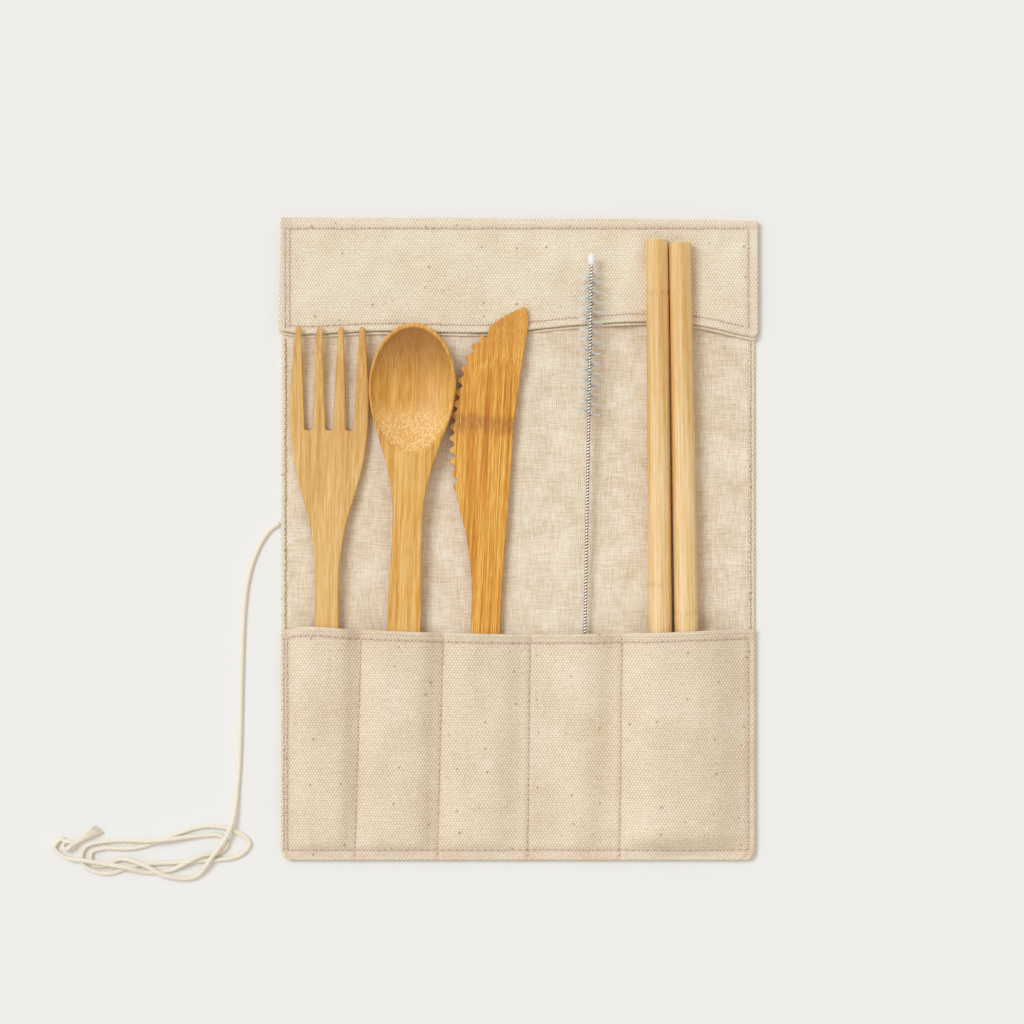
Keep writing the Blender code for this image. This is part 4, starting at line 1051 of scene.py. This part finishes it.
def inner_lining():
    """The lining, with soft creases where it shows beside the cutlery."""
    inset = EDGE_TURN + GAP
    width, length = PACK_WIDTH - 2 * inset, PACK_LENGTH - 2 * inset
    radius = CORNER_RADIUS - EDGE_TURN / 2
    up = fine_ends(length, LINING_GRID[0])
    share = fine_ends(width, LINING_GRID[1]) / width
    corner = corner_inset(up, radius)[:, None]
    left = PACK_LEFT + inset
    x = left + corner + share[None, :] * (width - 2 * corner)
    y = np.broadcast_to((PACK_FOOT + inset + up)[:, None], x.shape)
    edge = np.minimum(x - left - corner, left + width - corner - x)
    edge = np.minimum(edge, np.minimum(up, length - up)[:, None])
    crease = np.zeros(x.shape)
    for cx, cy, turn, reach, wide, tall in CREASES:
        a = math.radians(turn)
        along = (x - cx) * math.cos(a) + (y - cy) * math.sin(a)
        off = (y - cy) * math.cos(a) - (x - cx) * math.sin(a)
        crease += tall * ridge(off, wide / 2) * ridge(along, reach / 2)
    crease += swells(LINING_SWELLS, x, y)
    tools = [tree_of(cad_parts[n]) for n in ("fork", "spoon", "knife", "straw_left", "straw_right")]
    shadowed = blur(blur((heights(tools, x, y, 0) > 0).astype(float), 3, 0), 3, 1)
    hidden = np.maximum(smoothstep(0.0, 0.5, shadowed), smoothstep(MOUTH + 1, MOUTH - 3, y))
    hidden = np.maximum(hidden, smoothstep(HEM - 3, HEM + 3, y))
    lift = crease * (1 - hidden)
    lift = np.where(hidden > 0.5, np.minimum(lift, 0.1), lift)
    middle = (LINING_BOTTOM + LINING_TOP) / 2 + np.maximum(lift, -0.12) * smoothstep(0, 1.5, edge)
    half = rounded_half(LINING, edge)
    cloth = cloth_shell("inner_lining", x, y, middle, half, LINING_FINISH)
    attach(cloth, "root")
    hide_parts("lining")


def flap_grid(proud):
    """X, Y and distance from the nearest edge over the flap, whose lining stands proud of its hem."""
    share_up = fine_ends(FLAP_DEPTH, FLAP_GRID[0], ROLL_STEPS)[:, None] / FLAP_DEPTH
    across = fine_ends(FLAP_WIDTH, FLAP_GRID[1])[None, :]
    hem = hem_edge(across - FLAP_WIDTH / 2) - proud
    head = head_edge(across - FLAP_WIDTH / 2)
    y = hem + (head - hem) * share_up
    inset = corner_inset(y - hem, FLAP_CORNER)
    left, right = FLAP_LEAN * share_up + inset - FLAP_WIDTH / 2, FLAP_WIDTH / 2 - inset
    x = left + (right - left) * across / FLAP_WIDTH
    edge = np.minimum(np.minimum(x - left, right - x), np.minimum(y - hem, head - y))
    return x, y, edge, y - hem


def flap_base(node, x, y, proud, missing):
    """The height of one of the flap's solids, evened out."""
    inside = np.clip(x, LOOKUP_INSET - FLAP_WIDTH / 2, FLAP_WIDTH / 2 - LOOKUP_INSET)
    low = hem_edge(inside) - proud + LOOKUP_INSET
    cad = tree_of(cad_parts[node])
    base = heights([cad], inside, np.clip(y, low, PACK_HEAD - LOOKUP_INSET), missing)
    return blur(blur(base, 10, 1), 4, 0)


def flap_cloth():
    """The flap: a lining under a canvas whose hem is rolled and waves a little."""
    x, y, edge, from_hem = flap_grid(0)
    base = flap_base("flap_canvas", x, y, 0, FLAP_TOP) - CANVAS / 2
    puff = np.clip(swells(FLAP_SWELLS, x, y), -0.25, 0.7) * smoothstep(0, 6, edge)
    hem_wave = swells(FLAP_HEM_SWELLS, x, y * 0) * (1 - smoothstep(0, 8, from_hem))
    left, right = x + FLAP_WIDTH / 2, FLAP_WIDTH / 2 - x
    rows_off = [PACK_HEAD - y - FLAP_TOP_ROW, right - FLAP_RIGHT_ROW, *[left - at for at in FLAP_LEFT_ROWS]]
    seams = seam_dip(rows_off[0], x) + sum(0.8 * seam_dip(off, y) for off in rows_off[1:])
    seams += 0.4 * seam_dip(from_hem - FLAP_HEM_ROW, x)
    tint = np.maximum.reduce([ridge(off, SEAM_TINT_WIDTH) for off in rows_off])
    tint = np.maximum(tint, 0.35 * ridge(from_hem - FLAP_HEM_ROW, SEAM_TINT_WIDTH))
    thick, roll = rolled(CANVAS, HEM_ROLL, from_hem)
    middle = base + puff + roll + hem_wave + seams + 0.15
    half = rounded_half(thick, edge)
    cloth = cloth_shell("flap_cloth", x, y, middle, half, CANVAS_FINISH, {"seam": tint})
    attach(cloth, "root")
    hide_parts("flap_canvas")

    x, y, edge, from_hem = flap_grid(FLAP_LINING_PROUD)
    base = flap_base("flap_lining", x, y, FLAP_LINING_PROUD, LAY_HEIGHT + LINING) - LINING / 2
    hem_wave = swells(LINING_HEM_SWELLS, x, y * 0) * (1 - smoothstep(0, 5, from_hem))
    thick, roll = rolled(LINING, LINING_ROLL, from_hem + 0.5)
    middle, half = base + hem_wave + roll - 0.1, rounded_half(thick, edge)
    lining = cloth_shell("flap_lining_cloth", x, y, middle, half, LINING_FINISH)
    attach(lining, "root")
    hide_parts("flap_lining")

    first, last = FLAP_LEFT_ROWS[0] - FLAP_WIDTH / 2, FLAP_WIDTH / 2 - FLAP_RIGHT_ROW
    row = np.linspace(first, last, ROW_POINTS)
    rows = [
        [(a, PACK_HEAD - FLAP_TOP_ROW) for a in row],
        [(a, float(hem_edge(a)) + FLAP_HEM_ROW) for a in row],
    ]
    for at in (*[at - FLAP_WIDTH / 2 for at in FLAP_LEFT_ROWS], last):
        rows.append([(at, PACK_HEAD - FLAP_TOP_ROW), (at, float(hem_edge(at)) + 1.5)])
    stitch_rows("flap_stitching", rows, tree_of(cloth))


def divider_x(index, y):
    """X of a pocket divider: it leans in towards its foot."""
    return pocket_edges()[index + 1] - DIVIDER_LEANS[index] * (1 - (y - PACK_FOOT) / POCKET_DEPTH)


def pocket_cloth():
    """The pocket panel: sewn down at its foot, sides and dividers, and arched softly over each handle."""
    share_up = fine_ends(POCKET_DEPTH, POCKET_GRID[0], ROLL_STEPS) / POCKET_DEPTH
    across = fine_ends(PACK_WIDTH, POCKET_GRID[1]) / PACK_WIDTH
    x0 = PACK_LEFT + across * PACK_WIDTH
    tall = (mouth_edge(x0) - PACK_FOOT)[None, :]
    up = share_up[:, None] * tall
    inset = corner_inset(up, CORNER_RADIUS)
    x = PACK_LEFT + inset + across[None, :] * (PACK_WIDTH - 2 * inset)
    y = PACK_FOOT + up
    from_mouth = tall - up
    side = np.minimum(x - PACK_LEFT - inset, -PACK_LEFT - inset - x)
    edge = np.minimum(np.minimum(side, up), from_mouth)
    cad = tree_of(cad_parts["pocket_canvas"])
    inside_x = np.clip(x, PACK_LEFT + 0.5 + inset, -PACK_LEFT - 0.5 - inset)
    inside_y = np.clip(y, PACK_FOOT + LOOKUP_INSET, mouth_edge(inside_x) - 0.5)
    base = heights([cad], inside_x, inside_y, LAY_HEIGHT + CANVAS)
    names = ("fork", "spoon", "knife", "brush_wire", "straw_left", "straw_right")
    below = heights([tree_of(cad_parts[n]) for n in names], x, y, 0)
    base = blur(blur(base, 5, 1), 6, 0)
    needed = blur(np.maximum(below + CANVAS + 0.25, 0), 1, 1)
    base = blur(np.maximum(base, needed), 2, 1) - CANVAS / 2
    near_seam = np.minimum.reduce([np.abs(x - divider_x(k, y)) for k in range(len(DIVIDER_LEANS))])
    loose = smoothstep(1, 5, np.minimum(np.minimum(near_seam, side), up))
    puff = np.clip(swells(POCKET_SWELLS, x, y), -0.05, 0.5) * loose
    thick, roll = rolled(CANVAS, HEM_ROLL, from_mouth)
    hem = roll + 0.2 * (1 - smoothstep(MOUTH_ROW - 0.5, MOUTH_ROW + 0.5, from_mouth))
    seams = seam_dip(from_mouth - MOUTH_ROW, x) + seam_dip(up - FOOT_ROW, x) + seam_dip(side - SIDE_ROW, y)
    seams += 1.1 * seam_dip(near_seam, y)
    rows_off = (from_mouth - MOUTH_ROW, up - FOOT_ROW, side - SIDE_ROW)
    tint = np.maximum.reduce([ridge(off, SEAM_TINT_WIDTH) for off in rows_off])
    tint = np.maximum(tint, 0.6 * ridge(near_seam, SEAM_TINT_WIDTH))
    border = BORDER_LIFT * (1 - smoothstep(SIDE_ROW - 0.6, SIDE_ROW + 0.3, side))
    foot_border = BORDER_LIFT * (1 - smoothstep(FOOT_ROW - 0.6, FOOT_ROW + 0.3, up))
    border = np.maximum(border, foot_border) * smoothstep(0, 0.8, edge)
    middle = base + puff + hem + seams + border
    half = rounded_half(thick, edge)
    cloth = cloth_shell("pocket_cloth", x, y, middle, half, POCKET_FINISH, {"seam": tint})
    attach(cloth, "root")
    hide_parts("pocket_canvas")
    ends = PACK_WIDTH / 2 - SIDE_ROW
    row = np.linspace(-ends, ends, ROW_POINTS)
    rows = [
        [(a, float(mouth_edge(a)) - MOUTH_ROW) for a in row],
        [(a, PACK_FOOT + FOOT_ROW) for a in row],
    ]
    for sign in (-1, 1):
        rows.append([(sign * ends, PACK_FOOT + FOOT_ROW), (sign * ends, float(mouth_edge(sign * ends)) - 1)])
    at = PACK_LEFT + LEFT_EDGE_ROW
    rows.append([(at, PACK_FOOT + CORNER_RADIUS), (at, float(mouth_edge(at)) - 1)])
    for index in range(len(DIVIDER_LEANS)):
        top = float(mouth_edge(divider_x(index, MOUTH)))
        rows.append([(divider_x(index, a), a) for a in np.linspace(PACK_FOOT + 1.5, top - 0.5, 12)])
    stitch_rows("pocket_stitching", rows, tree_of(cloth))


# Cutlery
def board(name, outline, cuts, height, thickness, thinnest, share_at, edge, finish):
    """A board cut to an outline and bent along its length, with rounded edges."""
    bm = bmesh.new()
    bm.faces.new([bm.verts.new((x * MM, y * MM, 0)) for x, y in outline])
    for place, normal in cuts:
        geometry = [*bm.verts, *bm.edges, *bm.faces]
        place = Vector(place) * MM
        bmesh.ops.bisect_plane(bm, geom=geometry, plane_co=place, plane_no=normal)
    bmesh.ops.remove_doubles(bm, verts=bm.verts, dist=0.02 * MM)
    for vert in bm.verts:
        vert.co.z = height(vert.co.y / MM) * MM
    bmesh.ops.recalc_face_normals(bm, faces=bm.faces)
    if sum(face.normal.z for face in bm.faces) < 0:
        bmesh.ops.reverse_faces(bm, faces=bm.faces)
    mesh = bpy.data.meshes.new(name)
    bm.to_mesh(mesh)
    bm.free()
    piece = new_object(name, mesh, finish)
    group = piece.vertex_groups.new(name="Thickness")
    for vert in mesh.vertices:
        group.add([vert.index], share_at(vert.co.x / MM, vert.co.y / MM), "REPLACE")
    shell = piece.modifiers.new("Thickness", "SOLIDIFY")
    shell.thickness = thickness * MM
    shell.offset = 0
    shell.vertex_group = group.name
    shell.thickness_vertex_group = thinnest / thickness
    rounding = piece.modifiers.new("Rounded edges", "BEVEL")
    rounding.width = edge * MM
    rounding.segments = EDGE_STEPS
    rounding.limit_method = "ANGLE"
    rounding.angle_limit = math.radians(40)
    rounding.use_clamp_overlap = False
    piece.modifiers.new("Even shading", "WEIGHTED_NORMAL").keep_sharp = True
    mesh.shade_smooth()
    return piece


def cross_cuts(length, spacing):
    return [((0, at, 0), (0, 1, 0)) for at in np.arange(spacing, length, spacing)]


def rounded_foot(half_width, steps):
    turns = [math.pi / 2 * k / steps for k in range(steps + 1)]
    return [(half_width - BOARD_CORNER * (1 - math.sin(t)), BOARD_CORNER * (1 - math.cos(t))) for t in turns]


def side_line(table, first, last, spacing):
    """Points up one side of a board from a table of half widths."""
    return [(follow(table, at), at) for at in np.arange(first, last, spacing)]


def squared(turn):
    """A place on a square with well rounded corners, for a turn round its middle."""
    return [math.copysign(abs(v) ** 0.5, v) for v in (math.cos(turn), math.sin(turn))]


def fork():
    root = FORK_LENGTH - TINE_LENGTH
    slot_round = SLOT_AT_ROOT / 2
    half = [(0, 0), *rounded_foot(FORK_SIDE[0][1], FOOT_STEPS), *side_line(FORK_SIDE, 6, 184, 2.0)]
    for index in (1, 0):
        middle = TINE_PITCH_AT_TIP * (index + 0.5)
        radius = TINE_TIP_WIDTH / 2
        if index == 0:
            half.append((TINE_PITCH_AT_ROOT - slot_round, root + slot_round))
        for step in range(TINE_STEPS + 1):
            turn = math.pi * step / TINE_STEPS
            half.append((middle + radius * math.cos(turn), FORK_LENGTH - radius + radius * math.sin(turn)))
        slot_middle = TINE_PITCH_AT_ROOT * index
        steps = SLOT_STEPS if index else SLOT_STEPS // 2
        for step in range(steps + 1):
            across, down = squared(math.pi * step / SLOT_STEPS)
            half.append((slot_middle + slot_round * across, root + slot_round - slot_round * down))
        if index:
            half.pop()
    half = [p for p in half if p[0] >= 0]
    outline = half + [(-x, y) for x, y in reversed(half) if x > 0.01]
    piece = board(
        "fork_of_bamboo", outline, cross_cuts(FORK_LENGTH, 3.0), lambda y: follow(FORK_RISE, y),
        FORK_THICKNESS, FORK_TIP_THICKNESS, lambda x, y: 1 - max(0.0, (y - root) / TINE_LENGTH), 0.7,
        FORK_FINISH,
    )
    piece.matrix_world = seat_matrix(FORK_SEAT, LAY_HEIGHT + GAP / 2 + FORK_THICKNESS / 2)
    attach(piece, "root")
    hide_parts("fork")


def clip_line():
    """The clip, a slanting cut from the point down to the teeth: a place on it, and the way in from it."""
    (y0, x0), (y1, x1) = KNIFE_POINT[1], KNIFE_POINT[4]
    return Vector((x0, y0, 0)), Vector((y1 - y0, -(x1 - x0), 0)).normalized()


def clip_distance(x, y):
    place, inward = clip_line()
    return (x - place.x) * inward.x + (y - place.y) * inward.y


def knife():
    foot = rounded_foot(KNIFE_SPINE[0][1], FOOT_STEPS)
    outline = [(-x, y) for x, y in foot]
    outline += [(-x, y) for x, y in side_line(KNIFE_BELLY, 6, 134, 3.0)]
    start, end = KNIFE_TOOTH_LINE[0][0], KNIFE_TOOTH_LINE[-1][0]
    pitch = (end - start) / (TOOTH_COUNT - 1)
    depths = TOOTH_DEPTH * np.random.default_rng(17).uniform(0.84, 1.04, TOOTH_COUNT)
    for k in np.arange(0, TOOTH_COUNT - 0.99, 0.125):
        at = start + pitch * k
        hook = TOOTH_HOOK * k / (TOOTH_COUNT - 1)
        valley = 0.5 - 0.5 * math.cos(2 * math.pi * k)
        outline.append((depths[int(k)] * valley - follow(KNIFE_TOOTH_LINE, at), at + hook))
    point = evenly([Vector((x, at, 0)) for at, x in reversed(KNIFE_POINT)], 1.2)[:, :2]
    outline += [tuple(p) for p in point]
    outline += [(x, y) for x, y in side_line(KNIFE_SPINE, 6, 203, 3.0)][::-1]
    outline += foot[::-1]
    grind_start = start - GRIND_LEAD
    cuts = cross_cuts(KNIFE_LENGTH, 6.0)
    cuts += [((0, grind_start, 0), (0, 1, 0)), ((-GRIND_LINE, 0, 0), (1, 0, 0))]
    place, inward = clip_line()
    cuts += [(place + inward * d, inward) for d in (CLIP_WIDTH, CLIP_WIDTH * 0.5)]

    def share_at(x, y):
        past_start = min(1.0, max(0.0, (y - grind_start) / GRIND_RUN))
        edge = follow(KNIFE_TOOTH_LINE, y)
        past_line = min(1.0, max(0.0, (-x - GRIND_LINE) / (edge - GRIND_LINE)))
        on_clip = 1 - min(1.0, max(0.0, clip_distance(x, y) / CLIP_WIDTH)) if y > CLIP_START else 0
        return max(0.0, 1 - past_start * past_line - 0.9 * on_clip)

    piece = board(
        "knife_of_bamboo", outline, cuts, lambda y: 0.0, KNIFE_THICKNESS, KNIFE_EDGE_THICKNESS,
        share_at, 0.35, KNIFE_FINISH,
    )
    clip = piece.data.attributes.new("clip", "FLOAT", "POINT")
    for vert in piece.data.vertices:
        x, y = vert.co.x / MM, vert.co.y / MM
        clip.data[vert.index].value = float(y > CLIP_TONE_START and clip_distance(x, y) < CLIP_WIDTH * 0.9)
    tilt = tilt_over_flap(KNIFE_SEAT, LAY_HEIGHT, FLAP_TOP + GAP)
    piece.matrix_world = seat_matrix(KNIFE_SEAT, LAY_HEIGHT + KNIFE_THICKNESS / 2, tilt)
    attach(piece, "root")
    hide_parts("knife")


def spoon_half_width(along):
    if along <= BOWL_WIDEST:
        half = follow(SPOON_SIDE, along)
        if along < SPOON_CORNER:
            half -= SPOON_CORNER - math.sqrt(SPOON_CORNER**2 - (SPOON_CORNER - along) ** 2)
        return half
    share = min(1.0, (along - BOWL_WIDEST) / (SPOON_LENGTH - BOWL_WIDEST))
    return follow(SPOON_SIDE, BOWL_WIDEST) * math.sqrt(1 - share * share)


def spoon_top(along):
    """Height of the upper side: the handle climbs to the bowl's rim."""
    rim = BOWL_DEPTH + BOWL_WALL
    handle_end = BOWL_FOOT - SHOULDER
    if along >= handle_end:
        return rim
    return SPOON_THICKNESS + (rim - SPOON_THICKNESS) * (along / handle_end) ** 1.3


def spoon():
    """Rings of points round the spoon from foot to tip, closest together at its ends and its edges."""
    tip_start = BOWL_WIDEST + 12
    stations = np.concatenate([
        SPOON_CORNER * (1 - np.cos(np.linspace(0.12, 1.3, 9))), np.arange(SPOON_CORNER, BOWL_FOOT - 3, 2.4),
        np.arange(BOWL_FOOT - 3, tip_start, 0.45),
        tip_start + (SPOON_LENGTH - tip_start) * np.sin(np.linspace(0.03, 1.0, 36) * math.pi / 2),
    ])
    stations[-1] -= 0.03
    widest = spoon_half_width(BOWL_WIDEST)
    rim_width = widest - BOWL_RIM
    count = 2 * SPOON_COLUMNS
    rings, hollows = [], []
    for along in stations:
        half = spoon_half_width(along)
        top = spoon_top(along)
        blend = min(1.0, max(0.0, (along - BOWL_FOOT + THINNING) / THINNING))
        thickness = SPOON_THICKNESS + (RIM_THICKNESS - SPOON_THICKNESS) * blend
        reach = SPOON_LENGTH - BOWL_WIDEST if along > BOWL_WIDEST else BOWL_WIDEST - BOWL_FOOT + SHOULDER
        from_widest = min(1.0, abs(along - BOWL_WIDEST) / reach)
        hollow_reach = BOWL_WIDEST - BOWL_FOOT
        if along > BOWL_WIDEST:
            hollow_reach = SPOON_LENGTH - 2 * BOWL_RIM - BOWL_WIDEST
        x = -half * np.cos(np.linspace(0, math.pi, SPOON_COLUMNS))
        from_side = half - np.abs(x)
        round_edge = min(SPOON_EDGE, thickness / 2, half * 0.9)
        step = round_edge - np.sqrt(np.maximum(round_edge**2 - np.maximum(round_edge - from_side, 0) ** 2, 0))
        spread = (x / rim_width) ** 2 + ((along - BOWL_WIDEST) / hollow_reach) ** 2
        depth = BOWL_DEPTH * np.maximum(0, 1 - spread) ** 0.75
        upper = top - np.maximum(step * 0.9, depth)
        swell = (x / widest) ** 2 + from_widest**2
        drop = (BOWL_DEPTH + BOWL_WALL - RIM_THICKNESS) * np.maximum(0, 1 - swell) ** 0.8
        lower = top - thickness - drop + step * 0.9
        around = (np.concatenate([x, x[::-1]]), np.full(count, along), np.concatenate([upper, lower[::-1]]))
        rings.append(np.stack(around, axis=1))
        hollow = smoothstep(0.0, 0.06, 1 - spread)
        hollows.append(np.concatenate([hollow, np.zeros(SPOON_COLUMNS)]))
    points = np.concatenate(rings)
    faces = [tuple(f) for f in grid_faces(len(rings), count, closed=True).tolist()]
    faces.append(tuple(range(count))[::-1])
    faces.append(tuple(range(len(points) - count, len(points))))
    piece = make_piece(
        "spoon_of_bamboo", points, faces, SPOON_FINISH,
        {"hollow": np.concatenate(hollows)}, 55,
    )
    bm = bmesh.new()
    bm.from_mesh(piece.data)
    bmesh.ops.recalc_face_normals(bm, faces=bm.faces)
    bm.to_mesh(piece.data)
    bm.free()
    piece.matrix_world = seat_matrix(SPOON_SEAT, LAY_HEIGHT)
    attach(piece, "root")
    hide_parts("spoon")


def turned(name, profile, sides, finish, attributes=None, sharp=60):
    """A shape turned round its own Y axis from (radius, distance) points, from its foot over to its head."""
    profile = np.array(profile, float)
    turn = np.linspace(0, 2 * math.pi, sides, endpoint=False)
    radius, along = profile[:, 0:1], np.repeat(profile[:, 1:2], sides, 1)
    points = np.stack([radius * np.cos(turn), along, radius * np.sin(turn)], axis=2)
    faces = [tuple(f)[::-1] for f in grid_faces(len(profile), sides, closed=True).tolist()]
    spread = {key: np.repeat(values, sides) for key, values in (attributes or {}).items()}
    return make_piece(name, points.reshape(-1, 3), faces, finish, spread, sharp)


def straw_radius(index, along):
    foot, top = STRAW_FOOT_DIAMETERS[index] / 2, STRAW_TOP_DIAMETERS[index] / 2
    return foot + (top - foot) * along / STRAW_LENGTHS[index]


def straws():
    """Two bamboo straws: hollow, a little uneven, with the ridge and groove of each growth node."""
    for index, (seat, length) in enumerate(zip(STRAW_SEATS, STRAW_LENGTHS)):
        along = fine_ends(length, 0.9, (0.15, 0.4, 1.0))
        radius = straw_radius(index, along)
        groove = np.zeros(len(along))
        for at in STRAW_NODES[index]:
            from_groove = along - at - GROOVE_RISE
            radius = radius + NODE_RIDGE * ridge(along - at, 1.5) - NODE_GROOVE * ridge(from_groove, 0.6)
            groove = np.maximum(groove, 0.35 * ridge(from_groove, 1.2))
        radius = radius + 0.05 + 0.07 * along / length + 0.02 * np.sin(along / 23 + index)
        end = np.minimum(along, length - along)
        radius = radius - 0.35 * (1 - np.sqrt(1 - (1 - np.clip(end / 0.4, 0, 1)) ** 2))
        bore = STRAW_BORE / 2
        profile = [(bore, 0), *zip(radius, along), (bore, length)]
        profile += [(bore, a) for a in np.linspace(length, 0, BORE_ROWS + 1)[1:]]
        groove = np.concatenate([[0], groove, [0], np.zeros(BORE_ROWS)])
        name = ("left_straw", "right_straw")[index]
        piece = turned(name, profile, STRAW_SIDES, STRAW_FINISH, {"groove": groove}, 50)
        at_hem = straw_radius(index, HEM - foot_of(seat)[1])
        foot = straw_radius(index, 0)
        tilt = tilt_over_flap(seat, LAY_HEIGHT + foot, FLAP_TOP + GAP + at_hem)
        piece.matrix_world = seat_matrix(seat, LAY_HEIGHT + foot, tilt)
        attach(piece, "root")
        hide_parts(("straw_left", "straw_right")[index])


def brush():
    """The straw brush: two twisted wires that hold a helix of clear filaments, and a white bead."""
    centre = LAY_HEIGHT + WIRE_DIAMETER / 2
    tilt = tilt_over_flap(BRUSH_SEAT, centre, FLAP_TOP + GAP + BRISTLE_DIAMETER / 2)
    place = seat_matrix(BRUSH_SEAT, centre, tilt)
    strand = WIRE_DIAMETER / 4
    along = np.arange(0, BRUSH_LENGTH + 0.1, WIRE_TURN / 12)
    strands = []
    for k in (0, 1):
        turn = math.pi * k - 2 * math.pi * along / WIRE_TURN
        strands.append((np.stack([strand * np.cos(turn), along, strand * np.sin(turn)], axis=1), strand))
    points, faces = tubes(strands, WIRE_SIDES)
    # Painted highlight on the strands' outer faces and painted shade in the crease between them
    crown = smoothstep(0.55, 0.95, np.hypot(points[:, 0], points[:, 2]) / (2 * strand))
    wire = make_piece("twisted_wire", points, faces, STEEL_FINISH, {"crown": crown})
    wire.matrix_world = place
    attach(wire, "root")
    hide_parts("brush_wire")

    random = np.random.default_rng(11)
    pitch = BRISTLE_LENGTH / TUFT_COUNT
    taper = BRISTLE_RADIUS * np.array([1.0, 1.0, 0.8])
    filaments = []
    for k in range(TUFT_COUNT * BRISTLES_PER_TURN):
        turns = (k + random.uniform(-2, 2)) / BRISTLES_PER_TURN
        angle = 2 * math.pi * turns
        y = BRISTLE_START + BRISTLE_LENGTH * 0.005 + np.clip(turns, 0, TUFT_COUNT) * pitch * 0.99
        reach = BRISTLE_DIAMETER / 2 * random.uniform(0.86, 0.995)
        lean = random.normal(0, BRISTLE_LEAN)
        out = np.array((math.cos(angle), 0, math.sin(angle)))
        share = np.array([0.08, 0.55, 1.0])[:, None]
        bend = np.array((0, 1.0, 0)) * lean * share**1.5
        filaments.append((np.array((0, y, 0)) + out * share * reach + bend, taper))
    points, faces = tubes(filaments, BRISTLE_SIDES)
    bristles = make_piece("nylon_bristles", points, faces, NYLON_FINISH, sharp=180)
    bristles.matrix_world = place
    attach(bristles, "root")
    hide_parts("brush_bristles")

    radius = BRUSH_TIP_DIAMETER / 2
    foot, head = BRUSH_LENGTH - 0.4, BRUSH_LENGTH + GAP + BRUSH_TIP_LENGTH
    turns = np.linspace(0, 1.54, 12)
    dome = [(radius * math.cos(t), head - BEAD_DOME + BEAD_DOME * math.sin(t)) for t in turns]
    collar = [(0.02, foot), (radius * 0.7, foot), (radius * 0.9, foot + 0.4), (radius, foot + 1.2)]
    tip = turned("white_bead", [*collar, *dome, (0.01, head)], BEAD_SIDES, PLASTIC_FINISH)
    tip.matrix_world = place
    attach(tip, "root")
    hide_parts("brush_tip")


def main():
    camera_and_light()
    tie_cord()
    back_cloth()
    inner_lining()
    flap_cloth()
    pocket_cloth()
    fork()
    spoon()
    knife()
    brush()
    straws()


main()
